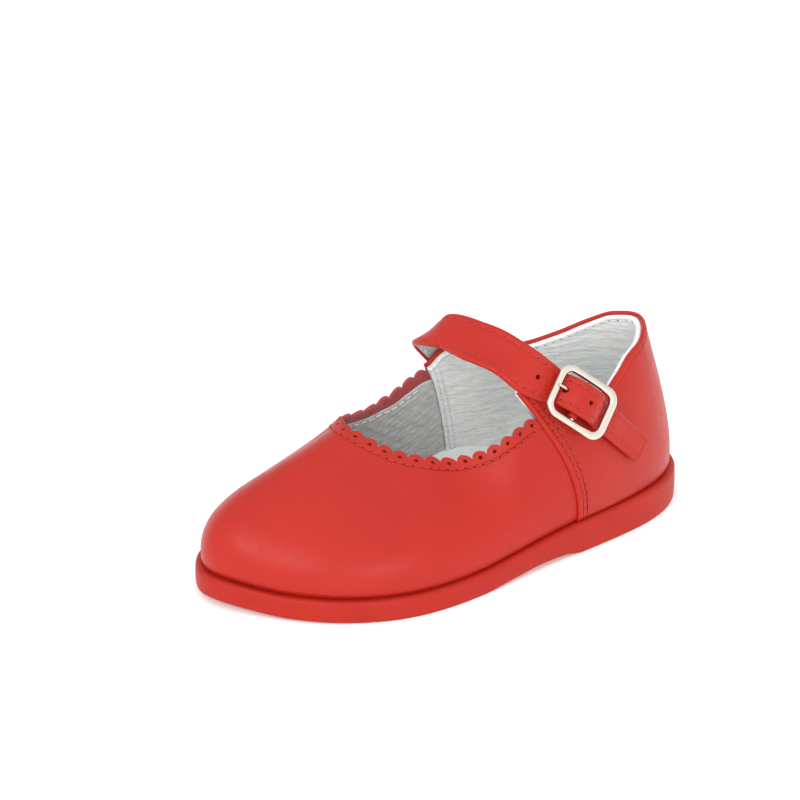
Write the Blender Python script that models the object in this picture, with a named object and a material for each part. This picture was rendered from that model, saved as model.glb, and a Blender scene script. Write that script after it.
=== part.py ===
"""A child's left mary jane shoe with one buckled strap: moulded sole, leather upper and a silver buckle.

Frame: metres, +Z up, toe towards +X, outer (lateral) side towards +Y.
The origin is on the floor under the middle of the sole's outline.
"""
import math

import bmesh
import bpy
import numpy as np
from mathutils import Matrix, Vector

# Driving dimensions, in metres
SOLE_LENGTH = 0.150          # heel to toe over the sole
BALL_WIDTH = 0.0655          # over the widest part of the sole
COLLAR_HEIGHT = 0.0545       # top of the collar at the back of the heel, above the floor
INSTEP_HEIGHT = 0.0620       # top of the strap over the instep, above the floor

HEEL_SOLE = 0.0097           # sole thickness under the heel
FORE_SOLE = 0.0062           # sole thickness under the ball
TOE_SPRING = 0.0021          # how far the toe's underside lifts off the floor
ARCH_LIFT = 0.0015           # hollow under the arch
SOLE_ROUND = 0.0012          # rounding of the sole's upper edge
SOLE_FOOT_ROUND = 0.0006     # rounding of the sole's lower edge
LEDGE = 0.0017               # sole edge that shows outside the upper

UPPER_WALL = 0.0020          # leather with its lining
QUARTER_LAP = 0.0009         # the quarters lie this much outside the vamp
SCALLOP_PITCH = 0.0043       # from scallop to scallop along the throat
SCALLOP_DEPTH = 0.0012
INSOLE_THICKNESS = 0.0016
ARCH_SUPPORT = 0.0074        # how far the insole's inner edge rises along the arch
SUPPORT_REACH = 0.0090       # how far from its edge that rise reaches
GAP = 0.0003                 # clearance between neighbouring pieces
STRAP_SEAT = 0.0005          # clearance between the strap and the quarters

STRAP_WIDTH = 0.0130         # over the instep
STRAP_THICKNESS = 0.0016
STRAP_LEAN = math.radians(38)    # the strap's back edge stands this much higher than its front edge
TIP_CORNER = 0.0009          # how far the tip's corners are cut off
STRAP_HOLE = 0.0015          # punched holes
PRONG_HOLE_PLAY = 0.0012     # the prong's hole is this much wider than the prong
HOLE_PLACES = (-0.0143, -0.0052, 0.0011)     # from the centre bar; the prong is in the middle one

BUCKLE_FROM_TIP = 0.0294     # from the buckle's centre bar to the strap's tip
BUCKLE_LENGTH = 0.0206       # over the frame, along the strap
BUCKLE_WIDTH = 0.0154        # over the frame, across the strap
BUCKLE_SET = 0.0003          # the frame's middle lies this much nearer the strap's front edge
BUCKLE_CORNER = 0.0032       # corner radius at the middle of the frame's wire
FRAME_WIRE = 0.0020
BAR_WIRE = 0.0011            # the centre bar
BAR_DROP = 0.0010            # the centre bar lies this much below the frame's plane
PRONG_WIRE = 0.0011
PRONG_HOOK = (45, -110)      # degrees round the centre bar, from the hook's end to where it leaves the bar
BUCKLE_PLAY = 0.00045        # clearance of prong and loop round the bars
LOOP_THICKNESS = 0.0006      # leather round the centre bar
LOOP_WIDTH = 0.0104
LOOP_ROUND = (-80, 240)      # degrees: where the loop starts round the bar and how far it goes
LOOP_SLOT = (0.0056, 0.0060)     # slot for the prong, along the strap and through the loop
LOOP_TAIL = 0.0125           # from the centre bar to the tail's end on the quarter

# The sole's outline from the back of the heel along the inner side to the toe and back,
# in shares of half the length and of half the ball width
OUTLINE = [
    # x, y
    (-1.000, -0.078),
    (-0.900, -0.505),
    (-0.600, -0.726),
    (-0.150, -0.744),
    (0.400, -0.977),
    (0.700, -0.868),
    (0.890, -0.608),
    (0.975, -0.341),
    (1.000, -0.133),
    (0.975, 0.074),
    (0.890, 0.363),
    (0.720, 0.744),
    (0.400, 1.042),
    (0.150, 1.017),
    (-0.200, 0.853),
    (-0.600, 0.682),
    (-0.900, 0.372),
]

# Heights along the sole, in shares of half the length from its middle.
# bed: from 0 at the ball's thickness to 1 at the heel's; toe: share of the toe spring;
# arch: share of the arch's lift; support: share of the insole's rise along the arch
SOLE_HEIGHTS = [
    # x, bed, toe, arch, support
    (-1.00, 1.00, 0.00, 0.00, 0.00),
    (-0.55, 0.97, 0.00, 0.00, 0.08),
    (-0.38, 0.88, 0.00, 0.00, 0.50),
    (-0.28, 0.74, 0.00, 0.85, 0.78),
    (-0.18, 0.56, 0.00, 1.00, 1.00),
    (-0.02, 0.26, 0.00, 0.55, 0.68),
    (0.12, 0.06, 0.00, 0.00, 0.20),
    (0.25, 0.00, 0.00, 0.00, 0.00),
    (0.45, 0.00, 0.00, 0.00, 0.00),
    (0.62, 0.00, 0.05, 0.00, 0.00),
    (0.80, 0.00, 0.24, 0.00, 0.00),
    (1.00, 0.00, 1.00, 0.00, 0.00),
]

# Sections of the upper, standing on the sole's edge. along: share of the way round the outline.
# top_x, top_y, top_z: where the section ends, in shares of half the length, half the ball width and
# the collar height. rise and drop: how far the curve goes straight up at its foot and comes up to its
# top, in shares of its height. bulge: share of the ball width. back: share of its reach.
SECTIONS = [
    # along, top_x, top_y, top_z, rise, bulge, back, drop
    (0.000, -0.831, -0.062, 1.000, 0.28, 0.009, 0.50, 0.42),
    (0.046, -0.785, -0.235, 1.002, 0.29, 0.014, 0.52, 0.40),
    (0.080, -0.723, -0.335, 1.015, 0.34, 0.024, 0.55, 0.36),
    (0.115, -0.600, -0.405, 1.030, 0.34, 0.028, 0.60, 0.36),
    (0.145, -0.453, -0.471, 1.046, 0.34, 0.030, 0.60, 0.36),
    (0.170, -0.293, -0.490, 1.064, 0.34, 0.030, 0.60, 0.36),
    (0.190, -0.147, -0.505, 1.073, 0.34, 0.030, 0.60, 0.34),
    (0.205, 0.004, -0.536, 0.972, 0.34, 0.030, 0.55, 0.34),
    (0.235, 0.085, -0.615, 0.800, 0.36, 0.030, 0.50, 0.34),
    (0.270, 0.133, -0.641, 0.706, 0.40, 0.030, 0.50, 0.32),
    (0.330, 0.254, -0.604, 0.674, 0.46, 0.028, 0.50, 0.32),
    (0.390, 0.330, -0.543, 0.691, 0.50, 0.025, 0.43, 0.40),
    (0.440, 0.353, -0.412, 0.706, 0.52, 0.032, 0.51, 0.42),
    (0.490, 0.359, -0.263, 0.706, 0.60, 0.033, 0.61, 0.30),
    (0.530, 0.341, -0.145, 0.693, 0.54, 0.025, 0.53, 0.30),
    (0.580, 0.311, -0.026, 0.668, 0.50, 0.026, 0.50, 0.32),
    (0.640, 0.252, 0.161, 0.636, 0.46, 0.028, 0.50, 0.32),
    (0.700, 0.175, 0.294, 0.619, 0.42, 0.030, 0.50, 0.32),
    (0.725, 0.129, 0.330, 0.605, 0.40, 0.030, 0.50, 0.32),
    (0.750, 0.065, 0.396, 0.613, 0.38, 0.030, 0.50, 0.32),
    (0.790, -0.060, 0.484, 0.752, 0.36, 0.030, 0.50, 0.34),
    (0.830, -0.128, 0.400, 0.932, 0.34, 0.034, 0.55, 0.34),
    (0.850, -0.253, 0.350, 1.064, 0.34, 0.034, 0.60, 0.34),
    (0.870, -0.460, 0.347, 1.073, 0.34, 0.032, 0.60, 0.36),
    (0.900, -0.640, 0.305, 1.046, 0.34, 0.028, 0.60, 0.36),
    (0.945, -0.755, 0.215, 1.009, 0.30, 0.016, 0.55, 0.38),
]

# The seams, where the quarters' front edges lap over the vamp, as shares along the outline
INNER_SEAM = 0.205
OUTER_SEAM = 0.830
# The quarters' top line from the outer tab round the heel to the inner tab:
# along (past 1 it goes on round), height in shares of the collar height
COLLAR_LINE = [
    # along, height
    (0.830, 0.880),
    (0.834, 0.930),
    (0.840, 0.960),
    (0.849, 0.980),
    (0.853, 0.940),
    (0.858, 0.870),
    (0.864, 0.815),
    (0.872, 0.790),
    (0.885, 0.845),
    (0.905, 0.922),
    (0.930, 0.955),
    (0.960, 0.985),
    (1.000, 1.000),
    (1.050, 0.988),
    (1.090, 0.930),
    (1.115, 0.880),
    (1.143, 0.845),
    (1.158, 0.872),
    (1.172, 0.940),
    (1.182, 0.968),
    (1.190, 0.950),
    (1.198, 0.905),
    (1.205, 0.845),
]
# The vamp's throat, from the inner seam round the toe end to the outer seam
THROAT_LINE = [
    # along, height
    (0.205, 0.825),
    (0.220, 0.778),
    (0.235, 0.743),
    (0.250, 0.719),
    (0.275, 0.704),
    (0.300, 1.000),
    (0.735, 1.000),
    (0.750, 0.611),
    (0.760, 0.624),
    (0.775, 0.655),
    (0.790, 0.689),
    (0.805, 0.710),
    (0.820, 0.735),
    (0.830, 0.752),
]

# The strap's middle line from its root on the inner quarter over the instep to its tip on the outer
# quarter: x and y in shares of half the length and half the ball width, z in shares of the instep height
STRAP_PATH = [
    # x, y, z
    (-0.228, -0.687, 0.664),
    (-0.144, -0.650, 0.782),
    (-0.070, -0.568, 0.879),
    (-0.026, -0.419, 0.940),
    (-0.043, -0.228, 0.966),
    (-0.078, 0.004, 0.963),
    (-0.119, 0.194, 0.945),
    (-0.162, 0.356, 0.900),
    (-0.220, 0.471, 0.843),
    (-0.292, 0.529, 0.780),
    (-0.403, 0.589, 0.670),
    (-0.513, 0.620, 0.554),
    (-0.659, 0.614, 0.388),
]
# The strap leaves the quarters between these heights, in shares of the instep height
LIFT_OFF = (0.82, 0.94)
# Over the centre bar it is flat up to the first of these places and is down again at the second,
# in half buckle lengths
HUMP = (0.25, 0.88)
# Its width in shares of the full width; place: from the centre bar, in half buckle lengths
STRAP_WIDTHS = [
    # place, width
    (-2.00, 0.98),
    (-1.00, 0.85),
    (-0.60, 0.7),
    (0.60, 0.69),
    (1.00, 0.675),
    (1.40, 0.66),
    (3.00, 0.64),
]

# How finely the curved pieces are cut up
SOLE_COLUMNS = 36            # along each side of the sole
SUPPORT_ROWS = 3             # over the insole's rise
SCALLOP_STEPS = 4            # columns in one scallop
QUARTER_STEP = 0.0075        # share of the outline between two columns of the quarters
UPPER_ROWS = 9
STRAP_ROWS = (22, 24, 8)     # before, over and after the buckle
STRAP_COLUMNS = 6
BUCKLE_ZONE = 0.62           # the middle rows reach this many buckle lengths to each side of the bar
HOLE_SIDES = 14
HOOK_STEPS = 8
TAIL_STEPS = 6
LOOP_STEPS = 9
QUARTER_EASE = 0.10          # share of the outline over which the quarters' foot moves in by the lap
SEAM_STEP = 0.0012           # share of the outline over which a quarter laps off the vamp


def ring_spline(rows, places):
    """A closed cubic curve through the rows; each row has its place on a ring of length 1."""
    rows = np.asarray(rows, float)
    count = len(rows)
    knots = np.append(places, places[0] + 1.0)
    step = np.diff(knots)
    system = np.zeros((count, count))
    right = np.zeros_like(rows)
    for i in range(count):
        before, after = i - 1, (i + 1) % count
        system[i, before] += step[before]
        system[i, i] += 2 * (step[before] + step[i])
        system[i, after] += step[i]
        right[i] = 6 * ((rows[after] - rows[i]) / step[i] - (rows[i] - rows[before]) / step[before])
    bend = np.linalg.solve(system, right)

    def at(place):
        place = np.mod(np.asarray(place, float) - knots[0], 1.0) + knots[0]
        i = np.clip(np.searchsorted(knots, place, "right") - 1, 0, count - 1)
        j = (i + 1) % count
        width = step[i][..., None]
        a = (knots[i + 1] - place)[..., None] / width
        b = (place - knots[i])[..., None] / width
        cubic = (a ** 3 - a) * bend[i] + (b ** 3 - b) * bend[j]
        return a * rows[i] + b * rows[j] + cubic * width ** 2 / 6

    return at


def smooth_steps(x_rows, y_rows):
    """A curve through a table's points that never overshoots them."""
    x, y = np.asarray(x_rows, float), np.asarray(y_rows, float)
    slope = np.diff(y) / np.diff(x)
    tangent = np.zeros_like(y)
    same = slope[:-1] * slope[1:] > 0
    tangent[1:-1][same] = 2 * slope[:-1][same] * slope[1:][same] / (slope[:-1] + slope[1:])[same]

    def at(place):
        place = np.clip(place, x[0], x[-1])
        i = np.clip(np.searchsorted(x, place, "right") - 1, 0, len(x) - 2)
        width = x[i + 1] - x[i]
        s = (place - x[i]) / width
        start = (1 + 2 * s) * (1 - s) ** 2 * y[i] + s * (1 - s) ** 2 * width * tangent[i]
        return start + s * s * (3 - 2 * s) * y[i + 1] + s * s * (s - 1) * width * tangent[i + 1]

    return at


def column(table, index):
    """One named column of a table."""
    return [row[index] for row in table]


def chord_places(points):
    """Where each point of a closed outline lies, as a share of the way round."""
    points = np.asarray(points, float)
    step = np.linalg.norm(np.roll(points, -1, 0) - points, axis=1)
    return (np.cumsum(step) - step) / step.sum()


def sole_outline():
    """The outline as a function of the share of the way round, at its real size and centred."""
    shares = np.array(OUTLINE) * (SOLE_LENGTH / 2, BALL_WIDTH / 2)
    rough = ring_spline(shares, chord_places(shares))
    dense = rough(np.linspace(0, 1, 4000, endpoint=False))
    low, high = dense.min(0), dense.max(0)
    size = np.array([SOLE_LENGTH, BALL_WIDTH])
    return lambda along: (rough(along) - (low + high) / 2) * size / (high - low)


outline = sole_outline()
section = ring_spline([row[1:] for row in SECTIONS], column(SECTIONS, 0))
bed_share = smooth_steps(column(SOLE_HEIGHTS, 0), column(SOLE_HEIGHTS, 1))
toe_share = smooth_steps(column(SOLE_HEIGHTS, 0), column(SOLE_HEIGHTS, 2))
arch_share = smooth_steps(column(SOLE_HEIGHTS, 0), column(SOLE_HEIGHTS, 3))
support_share = smooth_steps(column(SOLE_HEIGHTS, 0), column(SOLE_HEIGHTS, 4))
collar_line = smooth_steps(column(COLLAR_LINE, 0), column(COLLAR_LINE, 1))
throat_line = smooth_steps(column(THROAT_LINE, 0), column(THROAT_LINE, 1))


def outline_normal(along):
    """The outline's outward direction in the floor's plane."""
    ahead = outline(np.asarray(along) + 1e-4) - outline(np.asarray(along) - 1e-4)
    ahead /= np.linalg.norm(ahead, axis=-1)[..., None]
    return np.stack([ahead[..., 1], -ahead[..., 0]], -1)


def bed_height(x):
    """The sole's upper face above the floor."""
    share = x / (SOLE_LENGTH / 2)
    return FORE_SOLE + (HEEL_SOLE - FORE_SOLE) * bed_share(share) + TOE_SPRING * toe_share(share)


def floor_height(x):
    """The sole's underside above the floor: heel and ball are flat on it."""
    share = x / (SOLE_LENGTH / 2)
    return TOE_SPRING * toe_share(share) + ARCH_LIFT * arch_share(share)


def support_height(flat, from_edge):
    """The insole's rise along the arch: on its inner side only, highest at its edge."""
    high = ARCH_SUPPORT * support_share(flat[:, 0] / (SOLE_LENGTH / 2)) * (flat[:, 1] < 0)
    return high * (1 - np.minimum(from_edge / SUPPORT_REACH, 1)) ** 2


def quarter_share(along):
    """How far a place lies inside the quarters: 0 on the vamp and at the seams, 1 at the heel."""
    along = np.mod(along, 1.0)
    inside = np.maximum(INNER_SEAM - along, along - OUTER_SEAM) / QUARTER_EASE
    inside = np.clip(inside, 0, 1)
    return inside * inside * (3 - 2 * inside)


def upper_skin(along, share):
    """The vamp's outer face: share runs from 0 on the sole to 1 at the section's top."""
    along, share = np.broadcast_arrays(np.asarray(along, float), np.asarray(share, float))
    top_x, top_y, top_z, rise, bulge, back, drop = np.moveaxis(section(along), -1, 0)
    out = outline_normal(along)
    lap = QUARTER_LAP * quarter_share(along)
    foot = outline(along) - (LEDGE + lap)[..., None] * out
    foot = np.concatenate([foot, (bed_height(foot[..., 0]) + GAP)[..., None]], -1)
    top = np.stack([top_x * SOLE_LENGTH / 2, top_y * BALL_WIDTH / 2, top_z * COLLAR_HEIGHT], -1)
    height = (top - foot)[..., 2]
    lower, upper = foot.copy(), top.copy()
    lower[..., :2] += out * (bulge * BALL_WIDTH)[..., None]
    lower[..., 2] += rise * height
    upper[..., :2] += (foot - top)[..., :2] * back[..., None]
    upper[..., 2] -= drop * height
    s = share[..., None]
    return (1 - s) ** 3 * foot + 3 * s * (1 - s) ** 2 * lower + 3 * s ** 2 * (1 - s) * upper + s ** 3 * top


def upper_normal(along, share):
    """The skin's outward direction."""
    along, share = np.broadcast_arrays(np.asarray(along, float), np.asarray(share, float))
    round_way = upper_skin(along + 2e-4, share) - upper_skin(along - 2e-4, share)
    low, high = np.clip(share - 2e-3, 0, 1), np.clip(share + 2e-3, 0, 1)
    up_way = upper_skin(along, high) - upper_skin(along, low)
    normal = np.cross(round_way, up_way)
    return normal / np.linalg.norm(normal, axis=-1)[..., None]


def share_at_height(along, height):
    """Where a section reaches a height above the floor, or its top if it ends lower."""
    low, high = np.zeros_like(along), np.ones_like(along)
    for _ in range(30):
        middle = (low + high) / 2
        under = upper_skin(along, middle)[..., 2] < height
        low, high = np.where(under, middle, low), np.where(under, high, middle)
    return np.where(upper_skin(along, np.ones_like(along))[..., 2] <= height, 1.0, high)


def top_share(along, quarter):
    """The share at which the upper ends: the collar and tabs, or the vamp's throat."""
    if quarter:
        line = collar_line(np.where(along < OUTER_SEAM - 1e-9, along + 1, along))
    else:
        line = throat_line(along)
    return share_at_height(along, line * COLLAR_HEIGHT)


def upper_columns():
    """Columns round the upper: place, lap over the vamp and the share where it ends."""
    throat = np.linspace(INNER_SEAM, OUTER_SEAM, 400)
    edge = upper_skin(throat, top_share(throat, False))
    way = np.append(0, np.cumsum(np.linalg.norm(np.diff(edge, axis=0), axis=1)))
    scallops = round(way[-1] / SCALLOP_PITCH)
    steps = scallops * SCALLOP_STEPS
    vamp = np.interp(np.linspace(0, way[-1], steps + 1), way, throat)
    vamp[0] += SEAM_STEP
    vamp[-1] -= SEAM_STEP
    notch = np.abs(np.cos(np.pi * np.arange(steps + 1) / SCALLOP_STEPS)) ** 2
    ends = top_share(vamp, False)
    length = np.linalg.norm(upper_skin(vamp, ends) - upper_skin(vamp, ends * 0.9), axis=1) / (0.1 * ends)
    ends = ends - SCALLOP_DEPTH * notch / length
    count = round((1 - OUTER_SEAM + INNER_SEAM) / QUARTER_STEP)
    quarter = np.linspace(OUTER_SEAM, 1 + INNER_SEAM, count + 1)
    return (
        np.concatenate([vamp, quarter % 1.0]),
        np.concatenate([np.zeros(len(vamp)), np.full(len(quarter), QUARTER_LAP)]),
        np.concatenate([ends, top_share(quarter % 1.0, True)]),
    )


def ring_faces(rows, columns, first=0):
    """Quads between neighbouring closed rings of points."""
    faces = []
    for row in range(rows - 1):
        for i in range(columns):
            a = first + row * columns + i
            b = first + row * columns + (i + 1) % columns
            faces.append((a, b, b + columns, a + columns))
    return faces


def material(name, color, roughness, metallic=0.0):
    """A plain finish."""
    finish = bpy.data.materials.new(name)
    finish.use_nodes = True
    shader = finish.node_tree.nodes["Principled BSDF"]
    shader.inputs["Base Color"].default_value = (*color, 1.0)
    shader.inputs["Roughness"].default_value = roughness
    shader.inputs["Metallic"].default_value = metallic
    return finish


def solid(name, points, faces, finish, home):
    """One closed mesh object with its faces pointing out."""
    mesh = bpy.data.meshes.new(name)
    mesh.from_pydata([tuple(point) for point in points], [], faces)
    shell = bmesh.new()
    shell.from_mesh(mesh)
    bmesh.ops.recalc_face_normals(shell, faces=shell.faces[:])
    shell.to_mesh(mesh)
    shell.free()
    mesh.materials.append(finish)
    mesh.shade_smooth()
    mesh.set_sharp_from_angle(angle=math.radians(40))
    made = bpy.data.objects.new(name, mesh)
    home.objects.link(made)
    return made


def side_places():
    """Places round the outline, paired so that both sides have a column at each length."""
    dense = np.linspace(0, 1, 4001)
    x = outline(dense)[:, 0]
    heel = dense[np.argmin(np.where(dense < 0.5, x, 1))]
    toe = dense[np.argmax(x)]
    inner = np.linspace(heel, toe, SOLE_COLUMNS + 1)
    wanted = outline(inner)[1:-1, 0]
    outer_way = np.linspace(toe, heel + 1, 4001)
    outer_x = outline(outer_way)[:, 0]
    outer = np.interp(-wanted[::-1], -outer_x, outer_way)
    return np.concatenate([inner, outer % 1.0])


def plate(rings, places):
    """A plate round the outline, from rings of (inset, height rule), closed flat above and below.

    A height rule takes the ring's points in the floor's plane.
    """
    count = len(places)
    points = []
    for inset, height in rings:
        flat = outline(places) - np.reshape(inset, (-1, 1)) * outline_normal(places)
        points.extend(np.column_stack([flat, height(flat)]))
    faces = ring_faces(len(rings), count)
    for first in (0, (len(rings) - 1) * count):
        faces.append((first, first + 1, first + count - 1))
        for i in range(1, SOLE_COLUMNS - 1):
            faces.append((first + i, first + i + 1, first + count - i - 1, first + count - i))
        faces.append((first + SOLE_COLUMNS - 1, first + SOLE_COLUMNS, first + SOLE_COLUMNS + 1))
    return points, faces


def make_outsole(finish, home):
    """The moulded sole with its heel, arch, toe spring and rounded edges."""
    places = side_places()
    slope = 1 - math.sqrt(0.5)

    def above_floor(height):
        return lambda flat: floor_height(flat[:, 0]) + height

    def below_bed(depth):
        return lambda flat: bed_height(flat[:, 0]) - depth

    rings = [
        (3 * SOLE_FOOT_ROUND, above_floor(0)),
        (SOLE_FOOT_ROUND, above_floor(0)),
        (SOLE_FOOT_ROUND * slope, above_floor(SOLE_FOOT_ROUND * slope)),
        (0.0, above_floor(SOLE_FOOT_ROUND)),
        (0.0, below_bed(SOLE_ROUND)),
        (SOLE_ROUND * slope, below_bed(SOLE_ROUND * slope)),
        (SOLE_ROUND, below_bed(0)),
        (LEDGE + UPPER_WALL + GAP, below_bed(0)),
    ]
    return solid("outsole", *plate(rings, places), finish, home)


def make_insole(finish, home):
    """The insole that lies on the sole inside the upper, raised on its inner side under the arch."""
    places = side_places()
    inset = LEDGE + QUARTER_LAP * quarter_share(places) + UPPER_WALL + 2 * GAP

    def top(from_edge):
        level = GAP + INSOLE_THICKNESS
        return lambda flat: bed_height(flat[:, 0]) + level + support_height(flat, from_edge)

    rings = [(inset, lambda flat: bed_height(flat[:, 0]) + GAP)]
    for row in range(SUPPORT_ROWS + 1):
        from_edge = SUPPORT_REACH * row / SUPPORT_ROWS
        rings.append((inset + from_edge, top(from_edge)))
    return solid("insole", *plate(rings, places), finish, home)


def make_upper(finish, home):
    """Vamp and quarters as one hollow form, open at the collar, the throat and underneath."""
    places, lap, ends = upper_columns()
    count = len(places)
    points = []
    for offset in (lap, np.full(count, -UPPER_WALL)):
        for row in range(UPPER_ROWS + 1):
            share = ends * row / UPPER_ROWS
            layer = upper_skin(places, share) + offset[:, None] * upper_normal(places, share)
            layer[:, 2] = np.maximum(layer[:, 2], bed_height(layer[:, 0]) + GAP)
            points.extend(layer)
    rows = UPPER_ROWS + 1
    faces = ring_faces(rows, count) + ring_faces(rows, count, rows * count)
    for row in (0, UPPER_ROWS):
        for i in range(count):
            a, b = row * count + i, row * count + (i + 1) % count
            faces.append((a, b, b + rows * count, a + rows * count))
    return solid("upper", points, faces, finish, home)


def strap_line():
    """The strap's middle line: its length and a function of the distance from the root."""
    shares = np.array(STRAP_PATH) * (SOLE_LENGTH / 2, BALL_WIDTH / 2, INSTEP_HEIGHT)
    chord = np.append(0, np.cumsum(np.linalg.norm(np.diff(shares, axis=0), axis=1)))
    step = np.diff(chord)
    system = np.eye(len(shares))
    right = np.zeros_like(shares)
    for i in range(1, len(shares) - 1):
        system[i, i - 1:i + 2] = step[i - 1], 2 * (step[i - 1] + step[i]), step[i]
        right[i] = 6 * ((shares[i + 1] - shares[i]) / step[i] - (shares[i] - shares[i - 1]) / step[i - 1])
    bend = np.linalg.solve(system, right)
    place = np.linspace(0, chord[-1], 1200)
    i = np.clip(np.searchsorted(chord, place, "right") - 1, 0, len(step) - 1)
    width = step[i][:, None]
    a = (chord[i + 1] - place)[:, None] / width
    b = 1 - a
    cubic = (a ** 3 - a) * bend[i] + (b ** 3 - b) * bend[i + 1]
    dense = a * shares[i] + b * shares[i + 1] + cubic * width ** 2 / 6
    way = np.append(0, np.cumsum(np.linalg.norm(np.diff(dense, axis=0), axis=1)))
    return way[-1], lambda at: np.stack([np.interp(at, way, dense[:, k]) for k in range(3)], -1)


strap_length, strap_middle = strap_line()
BAR_PLACE = strap_length - BUCKLE_FROM_TIP
strap_width = smooth_steps(column(STRAP_WIDTHS, 0), column(STRAP_WIDTHS, 1))


def quarter_samples():
    """Points and outward directions on the quarters' outer faces, near the tabs."""
    outer = np.linspace(OUTER_SEAM - 0.03, 0.95, 100)
    places = np.concatenate([outer, np.linspace(0.08, INNER_SEAM + 0.03, 100)])
    along, share = np.meshgrid(places, np.linspace(0.05, 1.1, 90), indexing="ij")
    normal = upper_normal(along, np.minimum(share, 1.0)).reshape(-1, 3)
    return upper_skin(along, share).reshape(-1, 3) + QUARTER_LAP * normal, normal


skin_points, skin_normals = quarter_samples()


def onto_quarter(points):
    """The quarter's outer face under each point, and its outward direction."""
    flat = points.reshape(-1, 3)
    nearest = np.array([np.argmin(((skin_points - point) ** 2).sum(1)) for point in flat])
    normal = skin_normals[nearest]
    base = flat - ((flat - skin_points[nearest]) * normal).sum(1)[:, None] * normal
    return base.reshape(points.shape), normal.reshape(points.shape)


def clear_of_quarters(points):
    """Points moved out where they lie over a quarter with less than the strap's clearance."""
    base, normal = onto_quarter(points)
    short = np.maximum(STRAP_SEAT - ((points - base) * normal).sum(-1), 0)
    below_tabs = np.clip((COLLAR_HEIGHT + STRAP_THICKNESS - points[..., 2]) / (3 * STRAP_THICKNESS), 0, 1)
    return points + (below_tabs * short)[..., None] * normal


def strap_axes(at):
    """Directions at a place on the strap's middle line: onward, to its back edge and outward."""
    onward = strap_middle(at + 5e-4) - strap_middle(at - 5e-4)
    onward /= np.linalg.norm(onward, axis=-1)[..., None]
    lean = np.array([-math.cos(STRAP_LEAN), 0, math.sin(STRAP_LEAN)])
    back = lean - (onward @ lean)[..., None] * onward
    back /= np.linalg.norm(back, axis=-1)[..., None]
    return onward, back, np.cross(onward, back)


def frame_height():
    """The frame's plane above the quarter at the centre bar: clear of the strap under both end bars."""
    reach = (BUCKLE_LENGTH - FRAME_WIRE) / 2
    base, normal = onto_quarter(strap_middle(BAR_PLACE + np.array([-reach, 0, reach])))
    layers = STRAP_SEAT + STRAP_THICKNESS + np.array([0, 0, GAP + LOOP_THICKNESS])
    tops = base + layers[:, None] * normal
    return max((tops[[0, 2]] - base[1]) @ normal[1]) + 2 * GAP + FRAME_WIRE / 2


def strap_lift(at):
    """The strap's underside above the quarter: on it, and over the centre bar and the loop."""
    place = (at - BAR_PLACE) / (BUCKLE_LENGTH / 2)
    over_bar = frame_height() - BAR_DROP + BAR_WIRE / 2 + LOOP_THICKNESS + 3 * GAP
    low, high = HUMP
    hump = np.clip((high - np.abs(place)) / (high - low), 0, 1)
    hump = hump * hump * (3 - 2 * hump)
    tail = 2 * LOOP_TAIL / BUCKLE_LENGTH
    up = np.clip((place - low) / (high - low), 0, 1)
    down = np.clip((tail + high - low - place) / (high - low), 0, 1)
    on_tail = up * down
    return STRAP_SEAT + (over_bar - STRAP_SEAT) * hump + (LOOP_THICKNESS + GAP) * on_tail * (1 - hump)


def strap_underside(at, across):
    """Points under the strap; across runs from -1 at the front edge to 1 at the back edge."""
    onward, back, outward = strap_axes(at)
    half = STRAP_WIDTH / 2 * strap_width((at - BAR_PLACE) / (BUCKLE_LENGTH / 2))
    middle = strap_middle(at)
    free = middle - STRAP_THICKNESS * outward + (across * half)[..., None] * back
    base, normal = onto_quarter(free)
    draped = base + strap_lift(at)[..., None] * normal
    low, high = LIFT_OFF
    off = np.clip((middle[..., 2] / INSTEP_HEIGHT - low) / (high - low), 0, 1)[..., None]
    off = off * off * (3 - 2 * off)
    return clear_of_quarters(draped * (1 - off) + free * off)


def make_strap(finish, home, cutters):
    """The strap: draped on both quarters, humped over the buckle's centre bar."""
    near = BUCKLE_LENGTH * BUCKLE_ZONE
    before, over, after = STRAP_ROWS
    at = np.concatenate([
        np.linspace(0, BAR_PLACE - near, before, endpoint=False),
        np.linspace(BAR_PLACE - near, BAR_PLACE + near, over, endpoint=False),
        np.linspace(BAR_PLACE + near, strap_length - TIP_CORNER, after),
        [strap_length],
    ])
    rows, columns = np.meshgrid(at, np.linspace(-1, 1, STRAP_COLUMNS), indexing="ij")
    tip_width = STRAP_WIDTH * STRAP_WIDTHS[-1][1]
    columns[-1] *= 1 - 2 * TIP_CORNER / tip_width
    under = strap_underside(rows, columns)
    under[1:before] = (under[:before - 1] + 2 * under[1:before] + under[2:before + 1]) / 4
    along_way = np.gradient(under, axis=0)
    over_way = np.gradient(under, axis=1)
    normal = np.cross(along_way, over_way)
    normal /= np.linalg.norm(normal, axis=-1)[..., None]
    top = under + STRAP_THICKNESS * normal
    count, wide = rows.shape
    points = np.concatenate([top.reshape(-1, 3), under.reshape(-1, 3)])
    faces = []
    for i in range(count - 1):
        for j in range(wide - 1):
            for first in (0, count * wide):
                a = first + i * wide + j
                faces.append((a, a + 1, a + wide + 1, a + wide))
    border = [(i * wide, (i + 1) * wide) for i in range(count - 1)]
    border += [(i * wide + wide - 1, (i + 1) * wide + wide - 1) for i in range(count - 1)]
    border += [(j, j + 1) for j in range(wide - 1)]
    border += [((count - 1) * wide + j, (count - 1) * wide + j + 1) for j in range(wide - 1)]
    faces += [(a, b, b + count * wide, a + count * wide) for a, b in border]
    strap = solid("strap", points, faces, finish, home)
    for place, size in zip(HOLE_PLACES, (STRAP_HOLE, PRONG_WIRE + PRONG_HOLE_PLAY, STRAP_HOLE)):
        punch(strap, BAR_PLACE + place, size, cutters)
    return strap


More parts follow.
